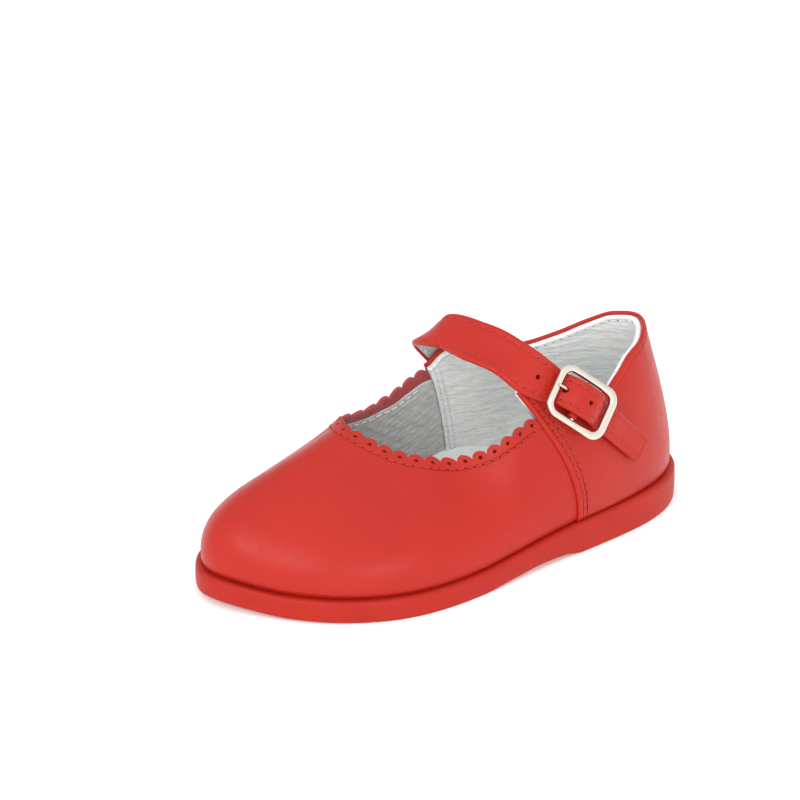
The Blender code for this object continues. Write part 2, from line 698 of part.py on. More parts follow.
def hole_axis(at):
    """The middle of a hole through the strap and the direction it is punched in."""
    under = strap_underside(at + np.array([-5e-4, 0, 5e-4]), np.zeros(3))
    normal = np.cross(under[2] - under[0], strap_axes(at)[1])
    normal /= np.linalg.norm(normal)
    return under[1] + normal * STRAP_THICKNESS / 2, normal


def punch(strap, at, size, cutters):
    """A round hole through the middle of the strap."""
    middle, normal = hole_axis(at)
    bpy.ops.mesh.primitive_cylinder_add(
        vertices=HOLE_SIDES, radius=size / 2, depth=STRAP_THICKNESS * 2, location=middle,
        rotation=Vector(normal).to_track_quat("Z", "Y").to_euler())
    cutter = bpy.context.object
    cutter.name = f"punch_{int(at * 1e4)}"
    for collection in list(cutter.users_collection):
        collection.objects.unlink(cutter)
    cutters.objects.link(cutter)
    hide(cutter)
    cut = strap.modifiers.new(cutter.name, "BOOLEAN")
    cut.operation = "DIFFERENCE"
    cut.object = cutter


def buckle_frame_axes():
    """The buckle's own frame: origin at the centre bar, X to the tip, Y to the back edge, Z outward."""
    reach = BUCKLE_LENGTH / 2
    start, end = strap_underside(BAR_PLACE + np.array([-reach, reach]), np.zeros(2))
    base, normal = onto_quarter((start + end) / 2)
    onward = end - start
    onward -= (onward @ normal) * normal
    onward /= np.linalg.norm(onward)
    back = np.cross(normal, onward)
    place = Matrix.Identity(4)
    for k, axis in enumerate((onward, back, normal)):
        place.col[k][:3] = axis
    place.col[3][:3] = base + frame_height() * normal - BUCKLE_SET * back
    return place


def wire(name, points, thickness, cyclic, finish, home):
    """A round wire along points given in the buckle's frame."""
    curve = bpy.data.curves.new(name, "CURVE")
    curve.dimensions = "3D"
    curve.bevel_depth = thickness / 2
    curve.bevel_resolution = 2
    curve.use_fill_caps = not cyclic
    spline = curve.splines.new("POLY")
    spline.points.add(len(points) - 1)
    for spot, point in zip(spline.points, points):
        spot.co = (*point, 1)
    spline.use_cyclic_u = cyclic
    curve.materials.append(finish)
    made = bpy.data.objects.new(name, curve)
    home.objects.link(made)
    made.matrix_world = buckle_frame_axes()
    return made


def as_mesh(made, home):
    """Turn a wire into a mesh object with the same name and place."""
    bpy.context.view_layer.update()
    graph = bpy.context.evaluated_depsgraph_get()
    mesh = bpy.data.meshes.new_from_object(made.evaluated_get(graph))
    shell = bmesh.new()
    shell.from_mesh(mesh)
    bmesh.ops.remove_doubles(shell, verts=shell.verts, dist=1e-6)
    bmesh.ops.recalc_face_normals(shell, faces=shell.faces[:])
    shell.to_mesh(mesh)
    shell.free()
    name, place = made.name, made.matrix_world.copy()
    bpy.data.objects.remove(made)
    turned = bpy.data.objects.new(name, mesh)
    home.objects.link(turned)
    turned.matrix_world = place
    return turned


def make_buckle_frame(finish, home, cutters):
    """A rounded rectangle of wire with a straight centre bar."""
    half_x = (BUCKLE_LENGTH - FRAME_WIRE) / 2
    half_y = (BUCKLE_WIDTH - FRAME_WIRE) / 2
    points = []
    for corner in range(4):
        sign_x = (1, -1, -1, 1)[corner]
        sign_y = (1, 1, -1, -1)[corner]
        for step in range(6):
            angle = math.radians(90 * corner + 90 * step / 5)
            points.append((
                sign_x * (half_x - BUCKLE_CORNER) + BUCKLE_CORNER * math.cos(angle),
                sign_y * (half_y - BUCKLE_CORNER) + BUCKLE_CORNER * math.sin(angle),
                0.0,
            ))
    frame = as_mesh(wire("buckle_frame", points, FRAME_WIRE, True, finish, home), home)
    bar_ends = [(0, -half_y, -BAR_DROP), (0, half_y, -BAR_DROP)]
    bar = as_mesh(wire("buckle_bar_joined", bar_ends, BAR_WIRE, False, finish, cutters), cutters)
    hide(bar)
    join = frame.modifiers.new("bar", "BOOLEAN")
    join.operation = "UNION"
    join.object = bar
    return frame


def hide(cutter):
    """Keep a cutter out of the render."""
    cutter.hide_render = True
    cutter.display_type = "WIRE"


def smooth_line(points, steps):
    """A smooth line through points, with a number of steps between each two."""
    points = np.asarray(points, float)
    ends = np.concatenate([[2 * points[0] - points[1]], points, [2 * points[-1] - points[-2]]])
    line = []
    for i in range(1, len(ends) - 2):
        before, start, end, after = ends[i - 1:i + 3]
        for t in np.arange(steps) / steps:
            bend = (2 * before - 5 * start + 4 * end - after) * t
            bend = bend + (3 * start - before - 3 * end + after) * t * t
            line.append(start + t * ((end - before) + bend) / 2)
    return line + [points[-1]]


def make_prong(finish, home):
    """The pin: hooked round the centre bar, up through the strap's hole and over the frame's end bar."""
    eye = (BAR_WIRE + PRONG_WIRE) / 2 + BUCKLE_PLAY
    end_bar = -(BUCKLE_LENGTH - FRAME_WIRE) / 2
    rest = FRAME_WIRE / 2 + BUCKLE_PLAY + PRONG_WIRE / 2
    middle, normal = hole_axis(BAR_PLACE + HOLE_PLACES[1])
    turn = np.array(buckle_frame_axes().inverted())
    middle = turn[:3, :3] @ middle + turn[:3, 3]
    through = turn[:3, :3] @ normal * (STRAP_THICKNESS / 2 + PRONG_WIRE / 2)
    hook = []
    for step in range(HOOK_STEPS + 1):
        angle = math.radians(PRONG_HOOK[0] + (PRONG_HOOK[1] - PRONG_HOOK[0]) * step / HOOK_STEPS)
        hook.append(np.array([eye * math.cos(angle), middle[1], eye * math.sin(angle) - BAR_DROP]))
    rise = [
        hook[-1],
        middle - through,
        middle + through,
        np.array([end_bar + PRONG_WIRE, middle[1], rest]),
        np.array([end_bar - PRONG_WIRE / 2, middle[1], rest]),
    ]
    return wire("buckle_prong", hook[:-1] + smooth_line(rise, 4), PRONG_WIRE, False, finish, home)


def loop_profile():
    """The loop's middle line beside the strap's length: tail on the quarter, then round the bar.

    Each point is a distance onward from the centre bar and a height above the quarter.
    """
    around = BAR_WIRE / 2 + BUCKLE_PLAY + LOOP_THICKNESS / 2
    low = GAP + LOOP_THICKNESS / 2
    height = frame_height() - BAR_DROP
    tail_start, bend_start, bend_rise = 2.2 * around, 1.3 * around, 0.3
    points = []
    for step in range(TAIL_STEPS + 1):
        points.append((LOOP_TAIL + (tail_start - LOOP_TAIL) * step / TAIL_STEPS, low))
    points.append((bend_start, low + (height - around - low) * bend_rise))
    for step in range(LOOP_STEPS + 1):
        angle = math.radians(LOOP_ROUND[0] - LOOP_ROUND[1] * step / LOOP_STEPS)
        points.append((around * math.cos(angle), height + around * math.sin(angle)))
    return np.array(points)


def make_loop(finish, home, cutters):
    """The leather loop that holds the centre bar, with a slot in it for the prong."""
    line = loop_profile()
    side = np.gradient(line, axis=0)
    side = np.column_stack([-side[:, 1], side[:, 0]]) / np.linalg.norm(side, axis=1)[:, None]
    outline_2d = np.concatenate([line + side * LOOP_THICKNESS / 2, (line - side * LOOP_THICKNESS / 2)[::-1]])
    across = np.linspace(-1, 1, 4) * LOOP_WIDTH / 2
    along, over = np.meshgrid(outline_2d[:, 0], across, indexing="ij")
    middle = strap_middle(BAR_PLACE) + along[..., None] * strap_axes(BAR_PLACE)[0]
    base, normal = onto_quarter(middle + over[..., None] * strap_axes(BAR_PLACE)[1])
    points = base + outline_2d[:, 1][:, None, None] * normal
    count, wide = along.shape
    faces = []
    for i in range(count):
        for j in range(wide - 1):
            a, b = i * wide + j, (i + 1) % count * wide + j
            faces.append((a, b, b + 1, a + 1))
    half = count // 2
    for j in (0, wide - 1):
        for i in range(half - 1):
            a, b = i * wide + j, (count - 1 - i) * wide + j
            faces.append((a, a + wide, b - wide, b))
    loop = solid("buckle_loop", points.reshape(-1, 3), faces, finish, home)
    size = (LOOP_SLOT[0], PRONG_WIRE + 2 * GAP, LOOP_SLOT[1])
    bpy.ops.mesh.primitive_cube_add(size=1)
    slot = bpy.context.object
    slot.name = "loop_slot"
    for collection in list(slot.users_collection):
        collection.objects.unlink(slot)
    cutters.objects.link(slot)
    place = Matrix.Translation((0, BUCKLE_SET, -BAR_DROP))
    slot.matrix_world = buckle_frame_axes() @ place @ Matrix.Diagonal((*size, 1))
    hide(slot)
    cut = loop.modifiers.new("slot", "BOOLEAN")
    cut.operation = "DIFFERENCE"
    cut.object = slot
    return loop


def main():
    """Build the whole shoe."""
    for item in list(bpy.data.objects):
        bpy.data.objects.remove(item)
    home = bpy.data.collections.new("mary_jane_shoe")
    cutters = bpy.data.collections.new("cutters")
    for collection in (home, cutters):
        bpy.context.scene.collection.children.link(collection)
    leather = material("red_leather", (0.55, 0.02, 0.02), 0.42)
    rubber = material("red_sole", (0.55, 0.02, 0.03), 0.6)
    lining = material("silver_lining", (0.6, 0.62, 0.63), 0.5)
    nickel = material("nickel", (0.75, 0.73, 0.68), 0.2, 1.0)
    make_outsole(rubber, home)
    make_insole(lining, home)
    make_upper(leather, home)
    make_strap(leather, home, cutters)
    make_buckle_frame(nickel, home, cutters)
    make_prong(nickel, home)
    make_loop(leather, home, cutters)


main()
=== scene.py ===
"""The looks of a child's left mary jane shoe: red leather, scalloped throat, silver lining, nickel buckle.

Metres, +Z up, toe towards +X, outer side towards +Y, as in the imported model.
"""
import math

import bmesh
import bpy
import numpy as np
from mathutils import Matrix, Vector


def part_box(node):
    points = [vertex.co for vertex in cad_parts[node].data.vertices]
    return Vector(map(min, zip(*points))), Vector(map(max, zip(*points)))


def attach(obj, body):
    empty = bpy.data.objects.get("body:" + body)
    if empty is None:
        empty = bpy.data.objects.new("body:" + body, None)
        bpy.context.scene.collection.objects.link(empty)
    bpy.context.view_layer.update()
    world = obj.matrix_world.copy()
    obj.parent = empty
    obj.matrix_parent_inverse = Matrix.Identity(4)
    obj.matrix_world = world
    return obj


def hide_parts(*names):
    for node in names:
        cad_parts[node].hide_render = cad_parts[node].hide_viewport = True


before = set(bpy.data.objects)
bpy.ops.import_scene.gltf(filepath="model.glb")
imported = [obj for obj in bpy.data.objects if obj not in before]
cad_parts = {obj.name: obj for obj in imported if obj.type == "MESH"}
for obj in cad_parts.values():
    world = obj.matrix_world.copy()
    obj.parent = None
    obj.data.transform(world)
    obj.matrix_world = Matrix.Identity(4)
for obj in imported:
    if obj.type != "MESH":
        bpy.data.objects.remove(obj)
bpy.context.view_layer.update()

# The form's driving dimensions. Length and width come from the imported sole.
sole_low, sole_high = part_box("outsole")
SOLE_LENGTH = sole_high.x - sole_low.x
BALL_WIDTH = sole_high.y - sole_low.y
COLLAR_HEIGHT = 0.0545       # top of the collar at the back of the heel, above the floor
INSTEP_HEIGHT = 0.0620       # top of the strap over the instep, above the floor
HEEL_SOLE = 0.0097
FORE_SOLE = 0.0062
TOE_SPRING = 0.0021
ARCH_LIFT = 0.0015
LEDGE = 0.0017               # sole edge that shows outside the upper
UPPER_WALL = 0.0020          # leather with its lining
QUARTER_LAP = 0.0009         # the quarters lie this much outside the vamp
INSOLE_THICKNESS = 0.0016
ARCH_SUPPORT = 0.0074        # how far the insole's inner edge rises along the arch
SUPPORT_REACH = 0.0090       # how far from its edge that rise reaches
GAP = 0.0003
SCALLOP_PITCH = 0.0043
STRAP_SEAT = 0.0005
STRAP_WIDTH = 0.0130
STRAP_THICKNESS = 0.0016
STRAP_LEAN = math.radians(38)
HOLE_PLACES = (-0.0143, -0.0052, 0.0011)     # from the centre bar; the prong is in the middle one
BUCKLE_FROM_TIP = 0.0294
BUCKLE_LENGTH = 0.0206
BUCKLE_WIDTH = 0.0154
BUCKLE_SET = 0.0003
BUCKLE_CORNER = 0.0032
FRAME_WIRE = 0.0020
BAR_WIRE = 0.0011
BAR_DROP = 0.0010
PRONG_WIRE = 0.0011
LOOP_THICKNESS = 0.0006
LOOP_WIDTH = 0.0104
LOOP_TAIL = 0.0125

# What only shows from near
LEATHER = 0.0012             # thickness of the vamp's leather
QUARTER_CORE = 0.00025       # middle of the quarters' rolled edge, from the vamp's face
ROLL = 0.0010                # radius of the rolled edges
SCALLOP_DEPTH = 0.00165
PINHOLE_FROM_TIP = 0.0019
PINHOLE = 0.0009             # diameter
THROAT_STITCH = 0.0039       # stitch row's distance below the scallops' tips
LINING_BELOW_TIPS = 0.0038   # where the vamp's lining ends
STITCH_PITCH = 0.00245
STRAP_STITCH_PITCH = 0.0028
THREAD = 0.00036             # diameter
NEEDLE_HOLE = 0.00042        # diameter
COLLAR_STITCH = 0.0018       # below the collar's edge
SEAM_STITCHES = (0.0019, 0.0034)     # behind the quarters' front edges
LINING_STITCHES = (0.0014, 0.0030)   # behind the quarter lining's front edges
TOOTH_PITCH = 0.00072        # of the fine teeth along the toe's lower edge
STRAP_STITCH = 0.0017        # stitch rows' distance from the strap's edges

# The sole's outline from the back of the heel along the inner side to the toe and back,
# in shares of half the length and of half the ball width
OUTLINE = [
    # x, y
    (-1.000, -0.078), (-0.900, -0.505), (-0.600, -0.726), (-0.150, -0.744), (0.400, -0.977), (0.700, -0.868),
    (0.890, -0.608), (0.975, -0.341), (1.000, -0.133), (0.975, 0.074), (0.890, 0.363), (0.720, 0.744),
    (0.400, 1.042), (0.150, 1.017), (-0.200, 0.853), (-0.600, 0.682), (-0.900, 0.372),
]
# Heights along the sole, in shares of half the length from its middle
SOLE_HEIGHTS = [
    # x, bed, toe, arch, support
    (-1.00, 1.00, 0.00, 0.00, 0.00),
    (-0.55, 0.97, 0.00, 0.00, 0.08),
    (-0.38, 0.88, 0.00, 0.00, 0.50),
    (-0.28, 0.74, 0.00, 0.85, 0.78),
    (-0.18, 0.56, 0.00, 1.00, 1.00),
    (-0.02, 0.26, 0.00, 0.55, 0.68),
    (0.12, 0.06, 0.00, 0.00, 0.20),
    (0.25, 0.00, 0.00, 0.00, 0.00),
    (0.45, 0.00, 0.00, 0.00, 0.00),
    (0.62, 0.00, 0.05, 0.00, 0.00),
    (0.80, 0.00, 0.24, 0.00, 0.00),
    (1.00, 0.00, 1.00, 0.00, 0.00),
]
# Sections of the upper, standing on the sole's edge
SECTIONS = [
    # along, top_x, top_y, top_z, rise, bulge, back, drop
    (0.000, -0.831, -0.062, 1.000, 0.28, 0.009, 0.50, 0.42),
    (0.046, -0.785, -0.235, 1.002, 0.29, 0.014, 0.52, 0.40),
    (0.080, -0.723, -0.335, 1.015, 0.34, 0.024, 0.55, 0.36),
    (0.115, -0.600, -0.405, 1.030, 0.34, 0.028, 0.60, 0.36),
    (0.145, -0.453, -0.471, 1.046, 0.34, 0.030, 0.60, 0.36),
    (0.170, -0.293, -0.490, 1.064, 0.34, 0.030, 0.60, 0.36),
    (0.190, -0.147, -0.505, 1.073, 0.34, 0.030, 0.60, 0.34),
    (0.205, 0.004, -0.536, 0.972, 0.34, 0.030, 0.55, 0.34),
    (0.235, 0.085, -0.615, 0.800, 0.36, 0.030, 0.50, 0.34),
    (0.270, 0.133, -0.641, 0.706, 0.40, 0.030, 0.50, 0.32),
    (0.330, 0.254, -0.604, 0.674, 0.46, 0.028, 0.50, 0.32),
    (0.390, 0.330, -0.543, 0.691, 0.50, 0.025, 0.43, 0.40),
    (0.440, 0.353, -0.412, 0.706, 0.52, 0.032, 0.51, 0.42),
    (0.490, 0.359, -0.263, 0.706, 0.60, 0.033, 0.61, 0.30),
    (0.530, 0.341, -0.145, 0.693, 0.54, 0.025, 0.53, 0.30),
    (0.580, 0.311, -0.026, 0.668, 0.50, 0.026, 0.50, 0.32),
    (0.640, 0.252, 0.161, 0.636, 0.46, 0.028, 0.50, 0.32),
    (0.700, 0.175, 0.294, 0.619, 0.42, 0.030, 0.50, 0.32),
    (0.725, 0.129, 0.330, 0.605, 0.40, 0.030, 0.50, 0.32),
    (0.750, 0.065, 0.396, 0.613, 0.38, 0.030, 0.50, 0.32),
    (0.790, -0.060, 0.484, 0.752, 0.36, 0.030, 0.50, 0.34),
    (0.830, -0.128, 0.400, 0.932, 0.34, 0.034, 0.55, 0.34),
    (0.850, -0.253, 0.350, 1.064, 0.34, 0.034, 0.60, 0.34),
    (0.870, -0.460, 0.347, 1.073, 0.34, 0.032, 0.60, 0.36),
    (0.900, -0.640, 0.305, 1.046, 0.34, 0.028, 0.60, 0.36),
    (0.945, -0.755, 0.215, 1.009, 0.30, 0.016, 0.55, 0.38),
]
INNER_SEAM = 0.205
OUTER_SEAM = 0.830
# The quarters' top line: along, height in shares of the collar height
COLLAR_LINE = [
    (0.830, 0.880), (0.834, 0.930), (0.840, 0.960), (0.849, 0.980), (0.853, 0.940), (0.858, 0.870),
    (0.864, 0.815), (0.872, 0.790), (0.885, 0.845), (0.905, 0.922), (0.930, 0.955), (0.960, 0.985),
    (1.000, 1.000), (1.050, 0.988), (1.090, 0.930), (1.115, 0.880), (1.143, 0.845), (1.158, 0.872),
    (1.172, 0.940), (1.182, 0.968), (1.190, 0.950), (1.198, 0.905), (1.205, 0.845),
]
# The vamp's throat: along, height in shares of the collar height (1 is no cut)
THROAT_LINE = [
    (0.205, 0.825), (0.220, 0.778), (0.235, 0.743), (0.250, 0.719), (0.275, 0.704), (0.300, 1.000),
    (0.735, 1.000), (0.750, 0.611), (0.760, 0.624), (0.775, 0.655), (0.790, 0.689), (0.805, 0.710),
    (0.820, 0.735), (0.830, 0.752),
]
# The strap's middle line, root to tip: x and y in shares of half the length and half the ball width,
# z in shares of the instep height
STRAP_PATH = [
    # x, y, z
    (-0.228, -0.687, 0.664),
    (-0.144, -0.650, 0.782),
    (-0.070, -0.568, 0.879),
    (-0.026, -0.419, 0.940),
    (-0.043, -0.228, 0.966),
    (-0.078, 0.004, 0.963),
    (-0.119, 0.194, 0.945),
    (-0.162, 0.356, 0.900),
    (-0.220, 0.471, 0.843),
    (-0.292, 0.529, 0.780),
    (-0.403, 0.589, 0.670),
    (-0.513, 0.620, 0.554),
    (-0.659, 0.614, 0.388),
]
LIFT_OFF = (0.82, 0.94)
HUMP = (0.25, 0.88)
# Place from the centre bar in half buckle lengths, width in shares of the full width
STRAP_WIDTHS = [
    (-2.00, 0.98), (-1.00, 0.85), (-0.60, 0.7), (0.60, 0.69), (1.00, 0.675), (1.40, 0.66), (3.00, 0.64),
]
QUARTER_EASE = 0.10

# How the photograph was taken
CAMERA_TURN = math.radians(32.12)    # the toe's direction from the picture's plane
CAMERA_RISE = math.radians(27.0)
CAMERA_DISTANCE = 0.800
PIXELS_PER_METRE = 3594.8            # at the origin
PICTURE = 800
ORIGIN_PIXEL = (450.0, 540.4)        # where the middle of the sole shows
SENSOR = 36.0


# Curves and surfaces of the form

def ring_spline(rows, places):
    """A closed cubic curve through the rows; each row has its place on a ring of length 1."""
    rows = np.asarray(rows, float)
    count = len(rows)
    knots = np.append(places, places[0] + 1.0)
    step = np.diff(knots)
    system = np.zeros((count, count))
    right = np.zeros_like(rows)
    for i in range(count):
        before, after = i - 1, (i + 1) % count
        system[i, before] += step[before]
        system[i, i] += 2 * (step[before] + step[i])
        system[i, after] += step[i]
        right[i] = 6 * ((rows[after] - rows[i]) / step[i] - (rows[i] - rows[before]) / step[before])
    bend = np.linalg.solve(system, right)

    def at(place):
        place = np.mod(np.asarray(place, float) - knots[0], 1.0) + knots[0]
        i = np.clip(np.searchsorted(knots, place, "right") - 1, 0, count - 1)
        j = (i + 1) % count
        width = step[i][..., None]
        a = (knots[i + 1] - place)[..., None] / width
        b = (place - knots[i])[..., None] / width
        cubic = (a ** 3 - a) * bend[i] + (b ** 3 - b) * bend[j]
        return a * rows[i] + b * rows[j] + cubic * width ** 2 / 6

    return at


def smooth_steps(table, index):
    """A curve through one column of a table, against its first column, that never overshoots."""
    x, y = np.array([row[0] for row in table]), np.array([row[index] for row in table])
    slope = np.diff(y) / np.diff(x)
    tangent = np.zeros_like(y)
    same = slope[:-1] * slope[1:] > 0
    tangent[1:-1][same] = 2 * slope[:-1][same] * slope[1:][same] / (slope[:-1] + slope[1:])[same]

    def at(place):
        place = np.clip(place, x[0], x[-1])
        i = np.clip(np.searchsorted(x, place, "right") - 1, 0, len(x) - 2)
        width = x[i + 1] - x[i]
        s = (place - x[i]) / width
        start = (1 + 2 * s) * (1 - s) ** 2 * y[i] + s * (1 - s) ** 2 * width * tangent[i]
        return start + s * s * (3 - 2 * s) * y[i + 1] + s * s * (s - 1) * width * tangent[i + 1]

    return at


def ease(share):
    """0 to 1 with a soft start and end."""
    share = np.clip(share, 0, 1)
    return share * share * (3 - 2 * share)


def unit(vectors):
    """Vectors brought to length 1."""
    return vectors / np.linalg.norm(vectors, axis=-1)[..., None]


def sole_outline():
    """The outline as a function of the share of the way round, at its real size and centred."""
    shares = np.array(OUTLINE) * (SOLE_LENGTH / 2, BALL_WIDTH / 2)
    step = np.linalg.norm(np.roll(shares, -1, 0) - shares, axis=1)
    rough = ring_spline(shares, (np.cumsum(step) - step) / step.sum())
    dense = rough(np.linspace(0, 1, 4000, endpoint=False))
    low, high = dense.min(0), dense.max(0)
    size = np.array([SOLE_LENGTH, BALL_WIDTH])
    return lambda along: (rough(along) - (low + high) / 2) * size / (high - low)


outline = sole_outline()
section = ring_spline([row[1:] for row in SECTIONS], [row[0] for row in SECTIONS])
bed_share = smooth_steps(SOLE_HEIGHTS, 1)
toe_share = smooth_steps(SOLE_HEIGHTS, 2)
arch_share = smooth_steps(SOLE_HEIGHTS, 3)
support_share = smooth_steps(SOLE_HEIGHTS, 4)
collar_line = smooth_steps(COLLAR_LINE, 1)
throat_line = smooth_steps(THROAT_LINE, 1)
strap_width = smooth_steps(STRAP_WIDTHS, 1)


def outline_normal(along):
    """The outline's outward direction in the floor's plane."""
    ahead = unit(outline(np.asarray(along) + 1e-4) - outline(np.asarray(along) - 1e-4))
    return np.stack([ahead[..., 1], -ahead[..., 0]], -1)


def bed_height(x):
    """The sole's upper face above the floor."""
    share = x / (SOLE_LENGTH / 2)
    return FORE_SOLE + (HEEL_SOLE - FORE_SOLE) * bed_share(share) + TOE_SPRING * toe_share(share)


def floor_height(x):
    """The sole's underside above the floor."""
    share = x / (SOLE_LENGTH / 2)
    return TOE_SPRING * toe_share(share) + ARCH_LIFT * arch_share(share)


def quarter_share(along):
    """How far a place lies inside the quarters: 0 on the vamp and at the seams, 1 at the heel."""
    along = np.mod(along, 1.0)
    return ease(np.maximum(INNER_SEAM - along, along - OUTER_SEAM) / QUARTER_EASE)


def upper_skin(along, share):
    """The vamp's outer face: share runs from 0 on the sole to 1 at the section's top."""
    along, share = np.broadcast_arrays(np.asarray(along, float), np.asarray(share, float))
    top_x, top_y, top_z, rise, bulge, back, drop = np.moveaxis(section(along), -1, 0)
    out = outline_normal(along)
    foot = outline(along) - (LEDGE + QUARTER_LAP * quarter_share(along))[..., None] * out
    foot = np.concatenate([foot, (bed_height(foot[..., 0]) + GAP)[..., None]], -1)
    top = np.stack([top_x * SOLE_LENGTH / 2, top_y * BALL_WIDTH / 2, top_z * COLLAR_HEIGHT], -1)
    height = (top - foot)[..., 2]
    lower, upper = foot.copy(), top.copy()
    lower[..., :2] += out * (bulge * BALL_WIDTH)[..., None]
    lower[..., 2] += rise * height
    upper[..., :2] += (foot - top)[..., :2] * back[..., None]
    upper[..., 2] -= drop * height
    s = share[..., None]
    return (1 - s) ** 3 * foot + 3 * s * (1 - s) ** 2 * lower + 3 * s ** 2 * (1 - s) * upper + s ** 3 * top


def upper_normal(along, share):
    """The skin's outward direction."""
    along, share = np.broadcast_arrays(np.asarray(along, float), np.asarray(share, float))
    round_way = upper_skin(along + 2e-4, share) - upper_skin(along - 2e-4, share)
    low, high = np.clip(share - 2e-3, 0, 1), np.clip(share + 2e-3, 0, 1)
    return unit(np.cross(round_way, upper_skin(along, high) - upper_skin(along, low)))


def top_share(along, line):
    """The share at which a section reaches a height, or 1 if it ends lower."""
    height = line * COLLAR_HEIGHT
    low, high = np.zeros_like(along), np.ones_like(along)
    for _ in range(30):
        middle = (low + high) / 2
        under = upper_skin(along, middle)[..., 2] < height
        low, high = np.where(under, middle, low), np.where(under, high, middle)
    return np.where(upper_skin(along, np.ones_like(along))[..., 2] <= height, 1.0, high)


def collar_share(along):
    """Where the quarters end."""
    along = np.mod(along, 1.0)
    return top_share(along, collar_line(np.where(along < OUTER_SEAM - 0.05, along + 1, along)))


def throat_share(along):
    """Where the vamp's scallops have their tips."""
    return top_share(along, throat_line(np.mod(along, 1.0)))


def even_places(start, end, ends, step):
    """Places between two others, evenly spaced along the upper's edge."""
    rough = np.linspace(start, end, 900)
    edge = upper_skin(rough, ends(rough))
    way = np.append(0, np.cumsum(np.linalg.norm(np.diff(edge, axis=0), axis=1)))
    count = max(2, round(way[-1] / step))
    return np.interp(np.linspace(0, way[-1], count + 1), way, rough)


def slope_length(along, ends):
    """Metres of skin per unit of share, near its end."""
    near = upper_skin(along, ends * 0.9)
    return np.linalg.norm(upper_skin(along, ends) - near, axis=-1) / (0.1 * ends)


# Meshes

def solid(name, points, faces, finishes, replaces=(), which=None):
    """One mesh piece of the shoe with its faces pointing out; which gives each face's finish."""
    mesh = bpy.data.meshes.new(name)
    mesh.from_pydata(np.asarray(points).reshape(-1, 3).tolist(), [], [tuple(face) for face in faces])
    for finish in finishes:
        mesh.materials.append(finish)
    if which is not None:
        mesh.polygons.foreach_set("material_index", np.asarray(which, np.int32))
    shell = bmesh.new()
    shell.from_mesh(mesh)
    bmesh.ops.recalc_face_normals(shell, faces=shell.faces[:])
    shell.to_mesh(mesh)
    shell.free()
    mesh.shade_smooth()
    made = bpy.data.objects.new(name, mesh)
    bpy.context.scene.collection.objects.link(made)
    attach(made, "root")
    if replaces:
        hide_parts(*replaces)
    return made


def sheet_faces(rows, columns):
    """Faces of a closed sheet whose outer and inner grids have the same rows and columns."""
    outer = np.arange(rows * columns).reshape(rows, columns)
    inner = outer + rows * columns

    def quads(a, b, c, d):
        return np.stack([a, b, c, d], -1).reshape(-1, 4)

    rim = np.concatenate([outer[0], outer[1:, -1], outer[-1, -2::-1], outer[-2:0:-1, 0]])
    after = np.roll(rim, -1)
    over = rows * columns
    return (
        quads(outer[:-1, :-1], outer[:-1, 1:], outer[1:, 1:], outer[1:, :-1]),
        quads(inner[:-1, :-1], inner[1:, :-1], inner[1:, 1:], inner[:-1, 1:]),
        np.stack([rim, rim + over, after + over, after], -1),
    )


def mark(made, name, values):
    """A number on each point, for the finishes."""
    attribute = made.data.attributes.new(name, "FLOAT", "POINT")
    attribute.data.foreach_set("value", np.asarray(values, np.float32).ravel())


def rise_at(distance, radius):
    """A quarter circle's height, from 0 at the edge to 1 at its radius."""
    return np.sqrt(np.clip(1 - (1 - np.clip(distance / radius, 0, 1)) ** 2, 0, 1))


def bell(distance, middle, width):
    """A soft bump around a distance."""
    return np.exp(-((distance - middle) / width) ** 2)


def nearest(points, targets, reach):
    """Each point's distance to the nearest target, in rows to save memory; far ones count as reach."""
    shape = points.shape[:-1]
    flat = points.reshape(-1, 3)
    found = np.empty(len(flat))
    for first in range(0, len(flat), 600):
        part = flat[first:first + 600]
        square = (part ** 2).sum(1)[:, None] + (targets ** 2).sum(1) - 2 * part @ targets.T
        found[first:first + 600] = np.sqrt(np.maximum(square.min(1), 0))
    return np.minimum(found, reach).reshape(shape)


def creases(points, across, spacing, seed):
    """Soft valleys that wander across the given direction and fade in and out, from 0 to 1."""
    across = np.array(across) / np.linalg.norm(across)
    way = points @ across / spacing * math.pi + 1.3 * waves(points, 120.0, seed, 2)
    return np.exp(-(np.sin(way) / 0.45) ** 2) * ease(0.55 + 0.8 * waves(points, 75.0, seed + 1, 2))


def waves(points, scale, seed, octaves=3):
    """Smooth wandering values between about -1 and 1, from sines with fixed directions."""
    draw = np.random.RandomState(seed)
    total = np.zeros(points.shape[:-1])
    for octave in range(octaves):
        for _ in range(5):
            direction = draw.normal(size=3)
            direction /= np.linalg.norm(direction)
            total += np.sin(points @ direction * scale * 2 ** octave + draw.uniform(0, 6.3)) / 2 ** octave
    return total / 5


# Finishes

def new_finish(name, color, roughness, metallic=0.0):
    """A principled finish with its tree and shader."""
    finish = bpy.data.materials.new(name)
    finish.use_nodes = True
    shader = finish.node_tree.nodes["Principled BSDF"]
    shader.inputs["Base Color"].default_value = (*color, 1)
    shader.inputs["Roughness"].default_value = roughness
    shader.inputs["Metallic"].default_value = metallic
    return finish, finish.node_tree, shader


def node(tree, kind, settings=(), **inputs):
    """A node with its settings and inputs; an input is a value or a socket to link."""
    made = tree.nodes.new(kind)
    for key, value in dict(settings).items():
        setattr(made, key, value)
    for key, value in inputs.items():
        socket = made.inputs[int(key[1:])] if key[0] == "i" and key[1:].isdigit() else made.inputs[key]
        if isinstance(value, bpy.types.NodeSocket):
            tree.links.new(value, socket)
        else:
            socket.default_value = value
    return made


def placed(tree, stretch=(1, 1, 1), lean=0.0):
    """The point's place on the object, turned about Y and then stretched."""
    place = node(tree, "ShaderNodeTexCoord")
    return node(tree, "ShaderNodeMapping", {"vector_type": "TEXTURE"}, Vector=place.outputs["Object"],
                Rotation=(0, lean, 0), Scale=tuple(1 / value for value in stretch)).outputs[0]


